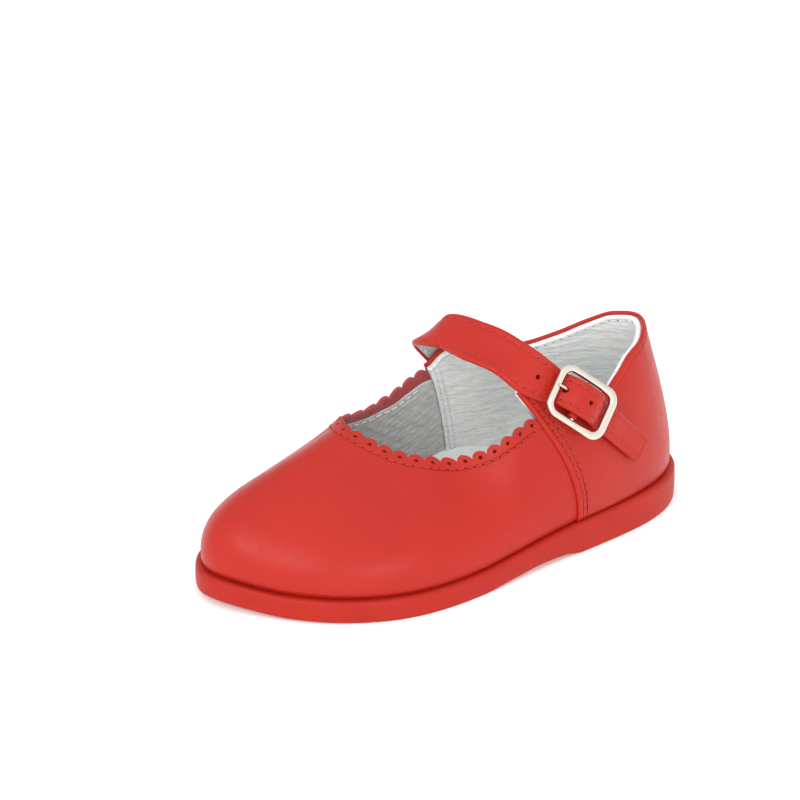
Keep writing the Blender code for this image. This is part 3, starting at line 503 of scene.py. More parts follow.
def noise_of(tree, scale, detail=3.0, stretch=(1, 1, 1), roughness=0.5, lean=0.0):
    """A noise's value at the point."""
    return node(tree, "ShaderNodeTexNoise", Vector=placed(tree, stretch, lean), Scale=scale, Detail=detail,
                Roughness=roughness).outputs[0]


def ramp(tree, value, low, high, start=0.0, end=1.0):
    """A value brought from one range to another."""
    return node(tree, "ShaderNodeMapRange", i0=value, i1=low, i2=high, i3=start, i4=end).outputs[0]


def blend(tree, share, first, second):
    """Two colours mixed by a share."""
    made = tree.nodes.new("ShaderNodeMix")
    made.data_type = "RGBA"
    for socket, value in ((made.inputs[0], share), (made.inputs[6], first), (made.inputs[7], second)):
        if isinstance(value, bpy.types.NodeSocket):
            tree.links.new(value, socket)
        else:
            socket.default_value = value if isinstance(value, float) else (*value, 1)
    return made.outputs[2]


def bump(tree, height, distance, strength, under=None):
    """A bump, over another one if given."""
    made = node(tree, "ShaderNodeBump", Height=height, Distance=distance, Strength=strength)
    if under is not None:
        tree.links.new(under, made.inputs["Normal"])
    return made.outputs[0]


def attribute(tree, name):
    """A number stored on the mesh."""
    return node(tree, "ShaderNodeAttribute", {"attribute_name": name}).outputs["Fac"]


RED = (0.430, 0.013, 0.004)
DEEP_RED = (0.340, 0.009, 0.003)
SOLE_RED = (0.410, 0.014, 0.005)


def leather_finish(name, color, deep, wrinkle=0.0):
    """Smooth red leather with a fine grain, with painted shade in its holes, along its stitch lines and at
    its foot by the sole.
    """
    finish, tree, shader = new_finish(name, color, 0.40)
    cloud = noise_of(tree, 42.0, 3.0)
    tone = blend(tree, ramp(tree, cloud, 0.35, 0.68), deep, color)
    tone = blend(tree, 0.30, color, tone)
    # Painted shade: nearly black red where the mesh marks holes, stitch grooves and the leather's foot by
    # the sole.
    tone = blend(tree, attribute(tree, "pit_and_painted_shade"), tone, (0.035, 0.006, 0.006))
    tree.links.new(tone, shader.inputs["Base Color"])
    cells = node(tree, "ShaderNodeTexVoronoi", {"feature": "SMOOTH_F1"}, Vector=placed(tree), Scale=1900.0)
    normal = bump(tree, cells.outputs["Distance"], 0.00012, 0.30)
    normal = bump(tree, noise_of(tree, 900.0, 4.0), 0.00012, 0.30, normal)
    if wrinkle:
        creased = noise_of(tree, 420.0, 5.0, (1.0, 0.55, 1.7), 0.62)
        normal = bump(tree, creased, 0.0005, wrinkle, normal)
    tree.links.new(normal, shader.inputs["Normal"])
    gloss = noise_of(tree, 320.0, 3.0)
    tree.links.new(ramp(tree, gloss, 0.3, 0.7, 0.36, 0.46), shader.inputs["Roughness"])
    shader.inputs["Specular IOR Level"].default_value = 0.30
    shader.inputs["Sheen Weight"].default_value = 0.015
    shader.inputs["Sheen Roughness"].default_value = 0.5
    return finish


def suede_finish():
    """The leather's raw back and its cut edges."""
    finish, tree, shader = new_finish("red_suede", (0.34, 0.030, 0.028), 0.85)
    fuzz = noise_of(tree, 2200.0, 4.0)
    tree.links.new(blend(tree, fuzz, (0.26, 0.018, 0.018), (0.42, 0.058, 0.054)),
                   shader.inputs["Base Color"])
    tree.links.new(bump(tree, fuzz, 0.0002, 0.4), shader.inputs["Normal"])
    shader.inputs["Sheen Weight"].default_value = 0.3
    return finish


def lining_finish(name, color, shade, wrinkle, lean=0.0, lines=0.0, spacing=0.002):
    """Soft silver lining leather: flat wrinkles and fine creases, turned by the lean from the floor, with
    painted shade in the wrinkles' hollows, along the crease lines and where the mesh marks it.
    """
    finish, tree, shader = new_finish(name, color, 0.46, 0.06)
    creased = noise_of(tree, 300.0, 6.0, (0.8, 0.8, 3.4), 0.6, lean)
    cloud = noise_of(tree, 90.0, 3.0)
    # Painted shade: the wrinkles' hollows take the darker shade colour.
    tone = blend(tree, ramp(tree, creased, 0.30, 0.62), shade, color)
    tone = blend(tree, ramp(tree, cloud, 0.3, 0.7, 0.0, 0.35), tone, color)
    fold = node(tree, "ShaderNodeTexWave", {"bands_direction": "Z"},
                Vector=placed(tree, (0.35, 0.35, 1), lean),
                Scale=math.pi / 10 / spacing, Distortion=7.0, Detail=4.0, i4=2.2, i5=0.62).outputs[1]
    thin = ramp(tree, fold, 0.0, 0.13, 1.0, 0.0)
    fading = ramp(tree, noise_of(tree, 160.0, 2.0, (1, 1, 2), 0.5, lean), 0.42, 0.60)
    shaded_crease_line = node(tree, "ShaderNodeMath", {"operation": "MULTIPLY"}, i0=thin, i1=fading).outputs[0]
    # Painted shade: thin near-black lines along the fine creases.
    tone = blend(tree, ramp(tree, shaded_crease_line, 0.0, 1.0, 0.0, lines), tone, (0.16, 0.16, 0.155))
    # Painted shade where the mesh marks stitch lines and edges.
    tone = blend(tree, attribute(tree, "pit_and_painted_shade"), tone, (0.05, 0.045, 0.045))
    tree.links.new(tone, shader.inputs["Base Color"])
    cells = node(tree, "ShaderNodeTexVoronoi", {"feature": "SMOOTH_F1"}, Vector=placed(tree, (1, 1, 1.6)),
                 Scale=1300.0)
    normal = bump(tree, cells.outputs["Distance"], 0.0002, 0.30)
    normal = bump(tree, creased, 0.0012, wrinkle, normal)
    normal = bump(tree, shaded_crease_line, -0.0003, 0.8 * min(lines * 2, 1), normal)
    tree.links.new(normal, shader.inputs["Normal"])
    return finish


def rubber_finish():
    """The sole's matt rubber."""
    finish, tree, shader = new_finish("sole_rubber", SOLE_RED, 0.50)
    cloud = noise_of(tree, 60.0, 4.0)
    tone = blend(tree, ramp(tree, cloud, 0.3, 0.7), (0.38, 0.012, 0.004), (0.43, 0.016, 0.006))
    tree.links.new(tone, shader.inputs["Base Color"])
    tree.links.new(bump(tree, noise_of(tree, 1200.0, 3.0), 0.0001, 0.12), shader.inputs["Normal"])
    shader.inputs["Specular IOR Level"].default_value = 0.25
    return finish


def nickel_finish():
    """Polished nickel with a warm cast and faint scratches."""
    finish, tree, shader = new_finish("polished_nickel", (0.69, 0.645, 0.56), 0.16, 1.0)
    scratch = noise_of(tree, 700.0, 3.0, (1, 6, 1))
    tree.links.new(ramp(tree, scratch, 0.35, 0.7, 0.12, 0.24), shader.inputs["Roughness"])
    tree.links.new(bump(tree, scratch, 0.0001, 0.05), shader.inputs["Normal"])
    return finish


def thread_finish(name, color):
    """Twisted sewing thread."""
    finish, tree, shader = new_finish(name, color, 0.55)
    twist = node(tree, "ShaderNodeTexWave", {"bands_direction": "DIAGONAL"},
                 Vector=placed(tree), Scale=1800.0)
    tree.links.new(bump(tree, twist.outputs[1], 0.0001, 0.3), shader.inputs["Normal"])
    return finish


VAMP_LEATHER = leather_finish("vamp_leather", RED, DEEP_RED)
STRAP_LEATHER = leather_finish("strap_leather", RED, DEEP_RED, 0.35)
SUEDE = suede_finish()
# The vamp's lining and the strap's back: the silver lining leather painted darker grey, as shade inside the
# toe and under the strap.
SHADED_LINING = lining_finish("shaded_lining_leather", (0.56, 0.56, 0.55), (0.42, 0.42, 0.415), 0.60,
                            math.radians(35), 0.25, 0.0017)
QUARTER_LINING = lining_finish("quarter_lining_leather", (0.87, 0.89, 0.87), (0.72, 0.74, 0.73), 0.50,
                               math.radians(-6), 0.13, 0.0021)
SOCK_LINING = lining_finish("sock_leather", (0.80, 0.81, 0.80), (0.68, 0.69, 0.69), 0.15)
RUBBER = rubber_finish()
NICKEL = nickel_finish()
RED_THREAD = thread_finish("red_thread", (0.50, 0.022, 0.012))
PALE_THREAD = thread_finish("pale_thread", (0.74, 0.75, 0.75))
# Near-black lenses at the needle holes: painted shade.
NEEDLE_HOLE_SHADE = thread_finish("needle_holes", (0.10, 0.006, 0.005))
LINING_NEEDLE_HOLE_SHADE = thread_finish("lining_needle_holes", (0.09, 0.09, 0.09))
CUT_EDGE = thread_finish("cut_leather_edge", (0.62, 0.38, 0.27))


# Sole and insole

def side_places(count, toe_share=0.0):
    """Places round the outline, paired so that both sides have a column at each length, finer at the toe."""
    dense = np.linspace(0, 1, 8001)
    x = outline(dense)[:, 0]
    heel = dense[np.argmin(np.where(dense < 0.5, x, 1))]
    toe = dense[np.argmax(x)]
    way = np.linspace(0, 1, count + 1)
    if toe_share:
        near_toe = 0.30
        way = np.interp(way, [0, 1 - toe_share, 1], [0, 1 - near_toe, 1])
    inner = heel + (toe - heel) * way
    wanted = outline(inner)[1:-1, 0]
    outer_way = np.linspace(toe, heel + 1, 8001)
    outer = np.interp(-wanted[::-1], -outline(outer_way)[:, 0], outer_way)
    return np.concatenate([inner, outer % 1.0])


def plate(rings, places, half, low_face, high_face, across=20):
    """A plate round the outline from rings of points, closed below and above by rows from side to side."""
    count = len(places)
    points = [ring for ring in rings]
    faces = []
    for level in range(len(rings) - 1):
        for i in range(count):
            a, b = level * count + i, level * count + (i + 1) % count
            faces.append((a, b, b + count, a + count))
    total = len(rings) * count
    for first, ring, rule in ((0, rings[0], low_face), ((len(rings) - 1) * count, rings[-1], high_face)):
        left = first + np.arange(1, half)
        right = first + (count - np.arange(1, half))
        rows = [left]
        for k in range(1, across):
            share = k / across
            inside = ring[left - first] * (1 - share) + ring[right - first] * share
            points.append(rule(inside))
            rows.append(total + np.arange(half - 1))
            total += half - 1
        rows.append(right)
        for one, other in zip(rows[:-1], rows[1:]):
            faces += [tuple(face) for face in np.stack([one[:-1], one[1:], other[1:], other[:-1]], -1)]
        for end, tip in ((0, first), (-1, first + half)):
            column = [row[end] for row in rows]
            faces += [(tip, column[k], column[k + 1]) for k in range(len(column) - 1)]
    return np.concatenate([np.reshape(p, (-1, 3)) for p in points]), faces


def tread(x, y):
    """How deep the sole's fine ribs are cut at a place, from 0 to 1."""
    bend = 0.0022 * np.cos(y / BALL_WIDTH * 2 * math.pi)
    ribs = 0.5 + 0.5 * np.cos((x + bend) / 0.0021 * 2 * math.pi)
    share = x / (SOLE_LENGTH / 2)
    worn = np.maximum(ease((share - 0.02) / 0.06), ease((-0.36 - share) / 0.06))
    return ease(ribs * 1.6 - 0.3) * worn


def make_outsole():
    """The moulded sole: soft upper edge, flat wall and a fine ribbed tread that notches the toe's edge."""
    half = 700
    places = side_places(half, 0.66)
    base = outline(places)
    out = outline_normal(places)
    way = np.cumsum(np.linalg.norm(base - np.roll(base, 1, 0), axis=1))
    at_toe = ease((base[:, 0] / (SOLE_LENGTH / 2) - 0.50) / 0.10)
    tooth = 0.5 + 0.5 * np.cos(way / TOOTH_PITCH * 2 * math.pi)
    cut = 0.00023 * tooth * at_toe + 0.00055 * tread(base[:, 0], base[:, 1]) * (1 - at_toe)
    rings = []

    def ring(inset, height):
        flat = base - np.reshape(inset, (-1, 1)) * out
        rings.append(np.column_stack([flat, height(flat[:, 0])]))

    for inset in (0.0040, 0.0022, 0.0012):
        ring(inset, lambda x: floor_height(x) + cut * (at_toe if inset < 0.002 else 1.0))
    foot, top = 0.0006, 0.0012
    for angle in np.radians((10, 35, 60, 85)):
        ring(foot * (1 - math.sin(angle)),
             lambda x: floor_height(x) + foot * (1 - math.cos(angle)) + cut * at_toe * 0.8)
    for share in (0.25, 0.5, 0.75):
        ring(-0.00012 * math.sin(math.pi * share),
             lambda x: floor_height(x) + foot + (bed_height(x) - top - floor_height(x) - foot) * share)
    for angle in np.radians((0, 15, 30, 45, 60, 75, 90)):
        ring(top * (1 - math.cos(angle)), lambda x: bed_height(x) - top * (1 - math.sin(angle)))
    ring(LEDGE, bed_height)
    ring(LEDGE + 0.003, bed_height)

    def below(points):
        made = points.copy()
        made[:, 2] = floor_height(made[:, 0]) + 0.00055 * tread(made[:, 0], made[:, 1])
        return made

    def above(points):
        made = points.copy()
        made[:, 2] = bed_height(made[:, 0])
        return made

    points, faces = plate(rings, places, half, below, above, 22)
    return solid("sole", points, faces, [RUBBER], ["outsole"])


def arch_rise(points, edge):
    """The sock's rise along the arch: on its inner side only, highest at its edge."""
    flat = np.column_stack([points[:, :2], np.zeros(len(points))])
    from_edge = nearest(flat, edge, SUPPORT_REACH)
    high = ARCH_SUPPORT * support_share(points[:, 0] / (SOLE_LENGTH / 2)) * (points[:, 1] < 0)
    return high * (1 - from_edge / SUPPORT_REACH) ** 2


def sock_edge(places, inset):
    """The sock's edge on the bed, at a distance inside its full size."""
    lap = LEDGE + QUARTER_LAP * quarter_share(places) + UPPER_WALL + 0.0001
    return outline(places) - np.reshape(lap + inset, (-1, 1)) * outline_normal(places)


def make_insole():
    """The silver sock: a soft sheet, raised along the arch, a little hollow under heel and ball."""
    half = 200
    places = side_places(half)
    out = outline_normal(places)
    fine = sock_edge(np.linspace(0, 1, 3000, endpoint=False), 0.0)
    edge = np.column_stack([fine, np.zeros(len(fine))])
    round_off = 0.0007
    rings = [np.column_stack([sock_edge(places, 0.0), bed_height(sock_edge(places, 0.0)[:, 0]) + 0.0001])]
    for angle in np.radians((0, 30, 60, 90)):
        flat = sock_edge(places, round_off * (1 - math.cos(angle)))
        rise = arch_rise(flat, edge)
        lift = GAP + INSOLE_THICKNESS - round_off * (1 - math.sin(angle))
        hug = (0.0009 * rise / ARCH_SUPPORT)[:, None] * out
        rings.append(np.column_stack([flat + hug, bed_height(flat[:, 0]) + lift + rise]))
    for inset in (0.0014, 0.0022, 0.0032):
        flat = sock_edge(places, inset)
        rise = arch_rise(flat, edge)
        rings.append(np.column_stack([flat, bed_height(flat[:, 0]) + GAP + INSOLE_THICKNESS + rise]))

    def above(points):
        made = points.copy()
        heel = bell(np.hypot(made[:, 0] + 0.045, made[:, 1] * 1.5), 0, 0.022)
        ball = bell(np.hypot(made[:, 0] - 0.028, made[:, 1]), 0, 0.024)
        made[:, 2] = bed_height(made[:, 0]) + GAP + INSOLE_THICKNESS - 0.0006 * heel - 0.0004 * ball
        made[:, 2] += arch_rise(made, edge) + 0.00008 * waves(made, 260.0, 4)
        return made

    def below(points):
        made = points.copy()
        made[:, 2] = bed_height(made[:, 0]) + 0.0001
        return made

    points, faces = plate(rings, places, half, below, above, 36)
    return solid("sock", points, faces, [SOCK_LINING], ["insole"])


# Upper

def foot_tuck(points, height, normal):
    """The leather's foot: tucked in and sunk a little where it meets the sole."""
    near = np.clip(1 - height / 0.0012, 0, 1)
    made = points - (0.0006 * (1 - np.sqrt(1 - near ** 2)))[..., None] * normal
    made[..., 2] -= 0.0005 * np.clip(1 - height / 0.0025, 0, 1)
    return made


def make_vamp():
    """The vamp's leather: scalloped round the throat, a pinhole in each scallop, a line for the stitches."""
    steps = 20
    rough = np.linspace(INNER_SEAM, OUTER_SEAM, 900)
    edge = upper_skin(rough, throat_share(rough))
    way = np.append(0, np.cumsum(np.linalg.norm(np.diff(edge, axis=0), axis=1)))
    scallops = round(way[-1] / SCALLOP_PITCH)
    pitch = way[-1] / scallops
    lap = 14
    spread = np.linspace(0, way[-1], scallops * steps + 1)
    places = np.interp(spread, way, rough)
    places = np.concatenate([
        INNER_SEAM - np.linspace(0.014, 0, lap, endpoint=False), places,
        OUTER_SEAM + np.linspace(0.014, 0, lap, endpoint=False)[::-1],
    ])
    across = np.concatenate([np.zeros(lap), np.mod(spread, pitch) - pitch / 2, np.zeros(lap)])
    tips = throat_share(places)
    per_share = slope_length(places, tips)
    radius = ((pitch / 2) ** 2 + SCALLOP_DEPTH ** 2) / (2 * SCALLOP_DEPTH)
    notch = radius - np.sqrt(radius ** 2 - across ** 2)
    near = np.array([0.0, 0.08, 0.22, 0.42, 0.64, 0.88, 1.12, 1.34, 1.54, 1.72, 1.9, 2.08, 2.26,
                     2.46, 2.7, 2.98,
                     3.3, 3.55, 3.75, 3.95, 4.2, 4.6, 5.3, 6.4]) * 1e-3
    count = 26
    low = near[-1]
    shares = [(tips - low / per_share) * k / count for k in range(count)]
    for distance in near[::-1]:
        drop = distance + notch * (1 - ease(distance / 0.0034))
        shares.append(tips - drop / per_share)
    shares = np.clip(np.array(shares), 0, 1)
    below = (tips - shares) * per_share
    along = np.broadcast_to(places, shares.shape)
    skin = upper_skin(along, shares)
    normal = upper_normal(along, shares)
    height = skin[..., 2] - bed_height(skin[..., 0]) - GAP
    distance = np.concatenate([np.full(count, 1.0), near[::-1]])[:, None]
    hole = np.hypot(np.broadcast_to(across, shares.shape), below - PINHOLE_FROM_TIP)
    hole = np.where(across == 0, np.where(np.arange(len(places)) < lap, 1, hole), hole)
    hole[:, :lap] = 1.0
    hole[:, -lap:] = 1.0
    pit_and_painted_shade = 1 - ease((hole - PINHOLE * 0.30) / (PINHOLE * 0.32))
    groove = bell(below, THROAT_STITCH, 0.00034)
    soft = 0.00022 * waves(skin, 95.0, 11) * ease(height / 0.004) * ease(below / 0.004)
    offset = soft - 0.0007 * pit_and_painted_shade - 0.00014 * groove
    offset -= 0.00012 * (1 - rise_at(distance, 0.00025))
    outer = foot_tuck(skin + offset[..., None] * normal, height, normal)
    inside = -LEATHER + 0.00012 * (1 - rise_at(distance, 0.00025)) + 0.00025 * pit_and_painted_shade
    inner = foot_tuck(skin + (inside + soft)[..., None] * normal, height, normal)
    front, back, rim = sheet_faces(*shares.shape)
    faces = np.concatenate([front, back, rim])
    which = np.concatenate([np.zeros(len(front)), np.ones(len(back)), np.ones(len(rim))])
    made = solid("vamp", np.concatenate([outer.reshape(-1, 3), inner.reshape(-1, 3)]), faces,
                 [VAMP_LEATHER, SUEDE], ["upper"], which)
    # Painted shade in the pinholes and, faintly, in the throat's stitch groove.
    painted_shade = np.maximum(pit_and_painted_shade, 0.10 * groove)
    mark(made, "pit_and_painted_shade", np.concatenate([painted_shade.ravel(), np.zeros(painted_shade.size)]))
    return made


def quarter_grid(step, near, count, inset=0.0, ahead=0.0):
    """Places, shares and the distance below the collar for a sheet on the quarters."""
    start = OUTER_SEAM + ahead
    end = 1 + INNER_SEAM - ahead
    places = even_places(start, end, collar_share, step)
    fine = np.array([0.00008, 0.0002, 0.00035, 0.0005, 0.0007, 0.0009, 0.0012, 0.0015,
                     0.0018, 0.0021]) / 0.37
    places = np.unique(np.concatenate([places, start + fine, end - fine]))
    ends = collar_share(places)
    per_share = slope_length(places, ends)
    ends = ends - inset / per_share
    shares = [(ends - near[-1] / per_share) * k / count for k in range(count)]
    shares += [ends - distance / per_share for distance in near[::-1]]
    return places, np.clip(np.array(shares), 0, 1), ends


def quarter_rim(start, end, inset=0.0):
    """Points along the quarters' free edges: the collar with its tabs and both front edges."""
    places = np.linspace(start, end, 2600)
    ends = collar_share(places)
    ends = ends - inset / slope_length(places, ends)
    collar = upper_skin(places, ends)
    sides = [upper_skin(np.full(240, place), np.linspace(0, 1, 240) * collar_share(np.array([place]))[0])
             for place in (start, end)]
    return collar, np.concatenate(sides)


def make_quarters():
    """The quarters' leather in one piece round the heel, with rolled edges and lines for the stitches."""
    near = np.array([0, 0.06, 0.16, 0.3, 0.46, 0.64, 0.84, 1.05, 1.3, 1.6, 1.9, 2.2,
                     2.5, 2.8, 3.2, 3.7, 4.4, 5.4]) * 1e-3
    places, shares, _ = quarter_grid(0.00042, near, 26)
    along = np.broadcast_to(places, shares.shape)
    skin = upper_skin(along, shares)
    normal = upper_normal(along, shares)
    height = skin[..., 2] - bed_height(skin[..., 0]) - GAP
    collar, sides = quarter_rim(OUTER_SEAM, 1 + INNER_SEAM)
    from_collar = nearest(skin, collar, 0.02)
    from_side = nearest(skin, sides, 0.02)
    distance = np.minimum(from_collar, from_side)
    level = QUARTER_LAP - QUARTER_CORE
    bead = 0.00010 * bell(distance, 0.0009, 0.0006)
    line = np.maximum.reduce([bell(from_collar, COLLAR_STITCH, 0.0003),
                              bell(from_side, SEAM_STITCHES[0], 0.0003),
                              bell(from_side, SEAM_STITCHES[1], 0.0003)])
    soft = 0.00020 * waves(skin, 90.0, 23) * ease(height / 0.004) * ease(distance / 0.005)
    offset = QUARTER_CORE + level * rise_at(distance, ROLL) + bead - 0.00015 * line + soft
    outer = foot_tuck(skin + offset[..., None] * normal, height, normal)
    inside = QUARTER_CORE - level * rise_at(distance, ROLL) - 0.00005
    inner = foot_tuck(skin + inside[..., None] * normal, height, normal)
    front, back, rim = sheet_faces(*shares.shape)
    made = solid("quarters", np.concatenate([outer.reshape(-1, 3), inner.reshape(-1, 3)]),
                 np.concatenate([front, back, rim]), [VAMP_LEATHER], ["upper"])
    # Painted shade along the stitch lines and at the leather's foot, where it meets the sole.
    painted_shade = 0.10 * line + 0.25 * (1 - ease(height / 0.0010))
    mark(made, "pit_and_painted_shade", np.concatenate([painted_shade.ravel(), np.zeros(painted_shade.size)]))
    return made


def make_vamp_lining():
    """The vamp's lining, painted darker grey as shade inside the toe, which ends below the scallops."""
    places = np.concatenate([
        INNER_SEAM - np.linspace(0.012, 0, 8, endpoint=False),
        even_places(INNER_SEAM, OUTER_SEAM, throat_share, 0.00060),
        OUTER_SEAM + np.linspace(0.012, 0, 8, endpoint=False)[::-1],
    ])
    tips = throat_share(places)
    per_share = slope_length(places, tips)
    ends = tips - LINING_BELOW_TIPS / per_share
    near = np.array([0, 0.08, 0.2, 0.35, 0.55, 0.8, 1.1, 1.5, 2.0, 2.6]) * 1e-3
    count = 56
    shares = [(ends - near[-1] / per_share) * k / count for k in range(count)]
    shares += [ends - distance / per_share for distance in near[::-1]]
    shares = np.clip(np.array(shares), 0, 1)
    along = np.broadcast_to(places, shares.shape)
    skin = upper_skin(along, shares)
    normal = upper_normal(along, shares)
    distance = np.concatenate([np.full(count, 1.0), near[::-1]])[:, None]
    height = skin[..., 2] - bed_height(skin[..., 0])
    fold = (0.00010 * waves(skin * (1, 1, 2.6), 420.0, 31, 3)
            - 0.00030 * creases(skin, (0.57, 0, -0.82), 0.0030, 51))
    fold *= ease((distance - 0.0006) / 0.0022) * ease(height / 0.004)
    middle, half = -0.00148, 0.00028
    round_off = rise_at(distance, 0.0004)
    outer = skin + (middle + half * round_off)[..., None] * normal
    inner = skin + (middle - half * round_off + fold)[..., None] * normal
    # Painted shade along the lining's stitch line.
    sewn = 0.30 * bell(distance, LINING_STITCH, 0.00025) * np.ones_like(height)
    return lining_piece("vamp_lining", outer, inner, SHADED_LINING, sewn)


def lining_piece(name, outer, inner, finish, painted_shade):
    """A sheet of lining inside the upper, with painted shade along its stitch lines and edges, as given."""
    front, back, rim = sheet_faces(*outer.shape[:2])
    points = np.concatenate([outer.reshape(-1, 3), inner.reshape(-1, 3)])
    points[:, 2] = np.maximum(points[:, 2], bed_height(points[:, 0]) + 0.0002)
    made = solid(name, points, np.concatenate([front, back, rim]), [finish], ["upper"])
    mark(made, "pit_and_painted_shade", np.concatenate([painted_shade.ravel(), painted_shade.ravel()]))
    return made


LINING_INSET = 0.0005        # the collar's lining ends this much below the rolled edge
LINING_AHEAD = 0.0002        # share of the outline by which the tabs' lining stays behind the front edges
LINING_STITCH = 0.0012       # from the linings' upper edges


def make_quarter_lining():
    """The quarters' light lining, up to the rolled edge, with the seam strip and a few soft folds."""
    near = np.array([0, 0.06, 0.15, 0.28, 0.42, 0.6, 0.85, 1.2, 1.7, 2.3, 3.0]) * 1e-3
    places, shares, _ = quarter_grid(0.00060, near, 56, LINING_INSET, LINING_AHEAD)
    along = np.broadcast_to(places, shares.shape)
    skin = upper_skin(along, shares)
    normal = upper_normal(along, shares)
    start, end = OUTER_SEAM + LINING_AHEAD, 1 + INNER_SEAM - LINING_AHEAD
    collar, sides = quarter_rim(start, end, LINING_INSET)
    from_collar, from_side = nearest(skin, collar, 0.02), nearest(skin, sides, 0.02)
    distance = np.minimum(from_collar, from_side)
    height = skin[..., 2] - bed_height(skin[..., 0])
    middle, half = -0.00126, 0.00082
    fold = (0.00012 * waves(skin * (1, 1, 2.4), 380.0, 37, 3)
            - 0.00024 * creases(skin, (0.1, 0, 1), 0.0034, 71))
    fold *= ease((distance - 0.0010) / 0.0022) * ease(height / 0.004)
    crease = np.array([[-0.006, -0.0200, 0.0330], [-0.030, -0.0190, 0.0290]])
    for start_point, end_point in (crease, crease + (0.004, 0, -0.008)):
        way = end_point - start_point
        share = np.clip(((skin - start_point) @ way) / (way @ way), 0, 1)
        away = np.linalg.norm(skin - start_point - share[..., None] * way, axis=-1)
        fold -= 0.00035 * bell(away, 0, 0.0016) * np.sin(math.pi * share)
    sewn = np.maximum.reduce([bell(from_side, LINING_STITCHES[0], 0.00025),
                              bell(from_side, LINING_STITCHES[1], 0.00025),
                              bell(from_collar, LINING_STITCH, 0.00025)])
    strip = 0.00016 * ease((LINING_STITCHES[1] + 0.0006 - from_side) / 0.0005) - 0.00014 * sewn
    round_off = rise_at(distance, 0.0005)
    outer = skin + (middle + half * round_off)[..., None] * normal
    inner = skin + (middle - half * round_off + fold - strip)[..., None] * normal
    # Painted shade along the stitch lines and in a thin line at the front edges, where the lining steps over
    # the vamp's lining.
    painted_shade = np.maximum(0.25 * sewn,
                      0.9 * bell(from_side, 0.0, 0.00022) * ease((0.046 - skin[..., 2]) / 0.006))
    return lining_piece("quarter_lining", outer, inner, QUARTER_LINING, painted_shade)


# Stitches

def stitch_row(path, normal, pitch=STITCH_PITCH, hole=NEEDLE_HOLE, fill=0.84, start=0.5):
    """Thread laid along a path in stitches that dip into needle holes: its rings, and small dark lenses in
    the gaps, painted as the holes' shade.
    """
    step = np.linalg.norm(np.diff(path, axis=0), axis=1)
    way = np.append(0, np.cumsum(step))
    count = int((way[-1] - pitch * start) / pitch)
    first = pitch * start + pitch * np.arange(count)

    def at(values, place):
        return np.stack([np.interp(place, way, values[:, k]) for k in range(3)], -1)

    def axes(place):
        up = unit(at(normal, place))
        ahead = unit(at(path, place + 1e-4) - at(path, place - 1e-4))
        return up, ahead, unit(np.cross(up, ahead))

    thick = np.array([0.35, 0.85, 1.0, 1.0, 0.85, 0.35])
    lift = np.array([-0.75, 0.05, 0.30, 0.30, 0.05, -0.75])
    place = first[:, None] + np.array([0.0, 0.10, 0.32, 0.68, 0.90, 1.0]) * pitch * fill
    up, _, side = axes(place)
    middle = at(path, place) + (lift * THREAD / 2)[None, :, None] * up
    angle = np.linspace(0, 2 * math.pi, 6, endpoint=False)
    rings = (np.cos(angle)[:, None] * side[:, :, None] + np.sin(angle)[:, None] * up[:, :, None])
    thread = middle[:, :, None] + rings * (thick * THREAD / 2)[None, :, None, None]
    place = first + pitch * (1 + fill) / 2
    up, ahead, side = axes(place)
    angle = np.linspace(0, 2 * math.pi, 8, endpoint=False)
    middle = at(path, place)
    rim = middle[:, None] + hole / 2 * (np.cos(angle)[:, None] * side[:, None]
                                            + np.sin(angle)[:, None] * ahead[:, None])
    raised = [middle + height * up for height in (0.00007, -0.0003)]
    return thread, np.concatenate([rim, raised[0][:, None], raised[1][:, None]], 1)


def stitches(name, rows, finish, painted_shade):
    """One piece of thread and one of dark lenses painted as the needle holes' shade, from many stitch rows.
    """
    points = np.concatenate([row[0].reshape(-1, 3) for row in rows])
    total = len(points) // 36
    ring = np.arange(6)
    faces = []
    for level in range(5):
        a = level * 6 + ring
        b = level * 6 + (ring + 1) % 6
        faces.append(np.stack([a, b, b + 6, a + 6], -1))
    side = np.concatenate(faces)
    quads = (np.arange(total)[:, None, None] * 36 + side).reshape(-1, 4)
    caps = [tuple(one * 36 + ring[::-1]) for one in range(total)]
    caps += [tuple(one * 36 + 30 + ring) for one in range(total)]
    solid(name, points, [tuple(face) for face in quads] + caps, [finish], ())
    points = np.concatenate([row[1].reshape(-1, 3) for row in rows])
    faces = []
    for one in range(len(points) // 10):
        for k in range(8):
            a, b = one * 10 + k, one * 10 + (k + 1) % 8
            faces += [(a, b, one * 10 + 8), (b, a, one * 10 + 9)]
    solid(name + "_holes", points, faces, [painted_shade], ())


def along_edge(start, end, ends, below, offset, count=900):
    """A path on the upper at a distance below an edge, with its directions."""
    places = np.linspace(start, end, count)
    limit = ends(places)
    shares = limit - below / slope_length(places, limit)
    normal = upper_normal(places, shares)
    return upper_skin(places, shares) + offset * normal, normal


def beside_seam(place, inward, away, low, high, offset, count=300):
    """A path up the upper beside a seam, between two heights above the sole."""
    shares = np.linspace(0, 1, count)
    line = np.full(count, place)
    on_seam = upper_skin(line, shares)
    for _ in range(3):
        now = upper_skin(line, shares)
        gap = np.linalg.norm(now - on_seam, axis=1)
        rate = np.linalg.norm(upper_skin(line + 1e-3, shares) - upper_skin(line, shares), axis=1) / 1e-3
        line = line + inward * (away - gap) / rate
    path = upper_skin(line, shares)
    normal = upper_normal(line, shares)
    keep = (path[:, 2] > low) & (path[:, 2] < high)
    return (path + offset * normal)[keep], normal[keep]


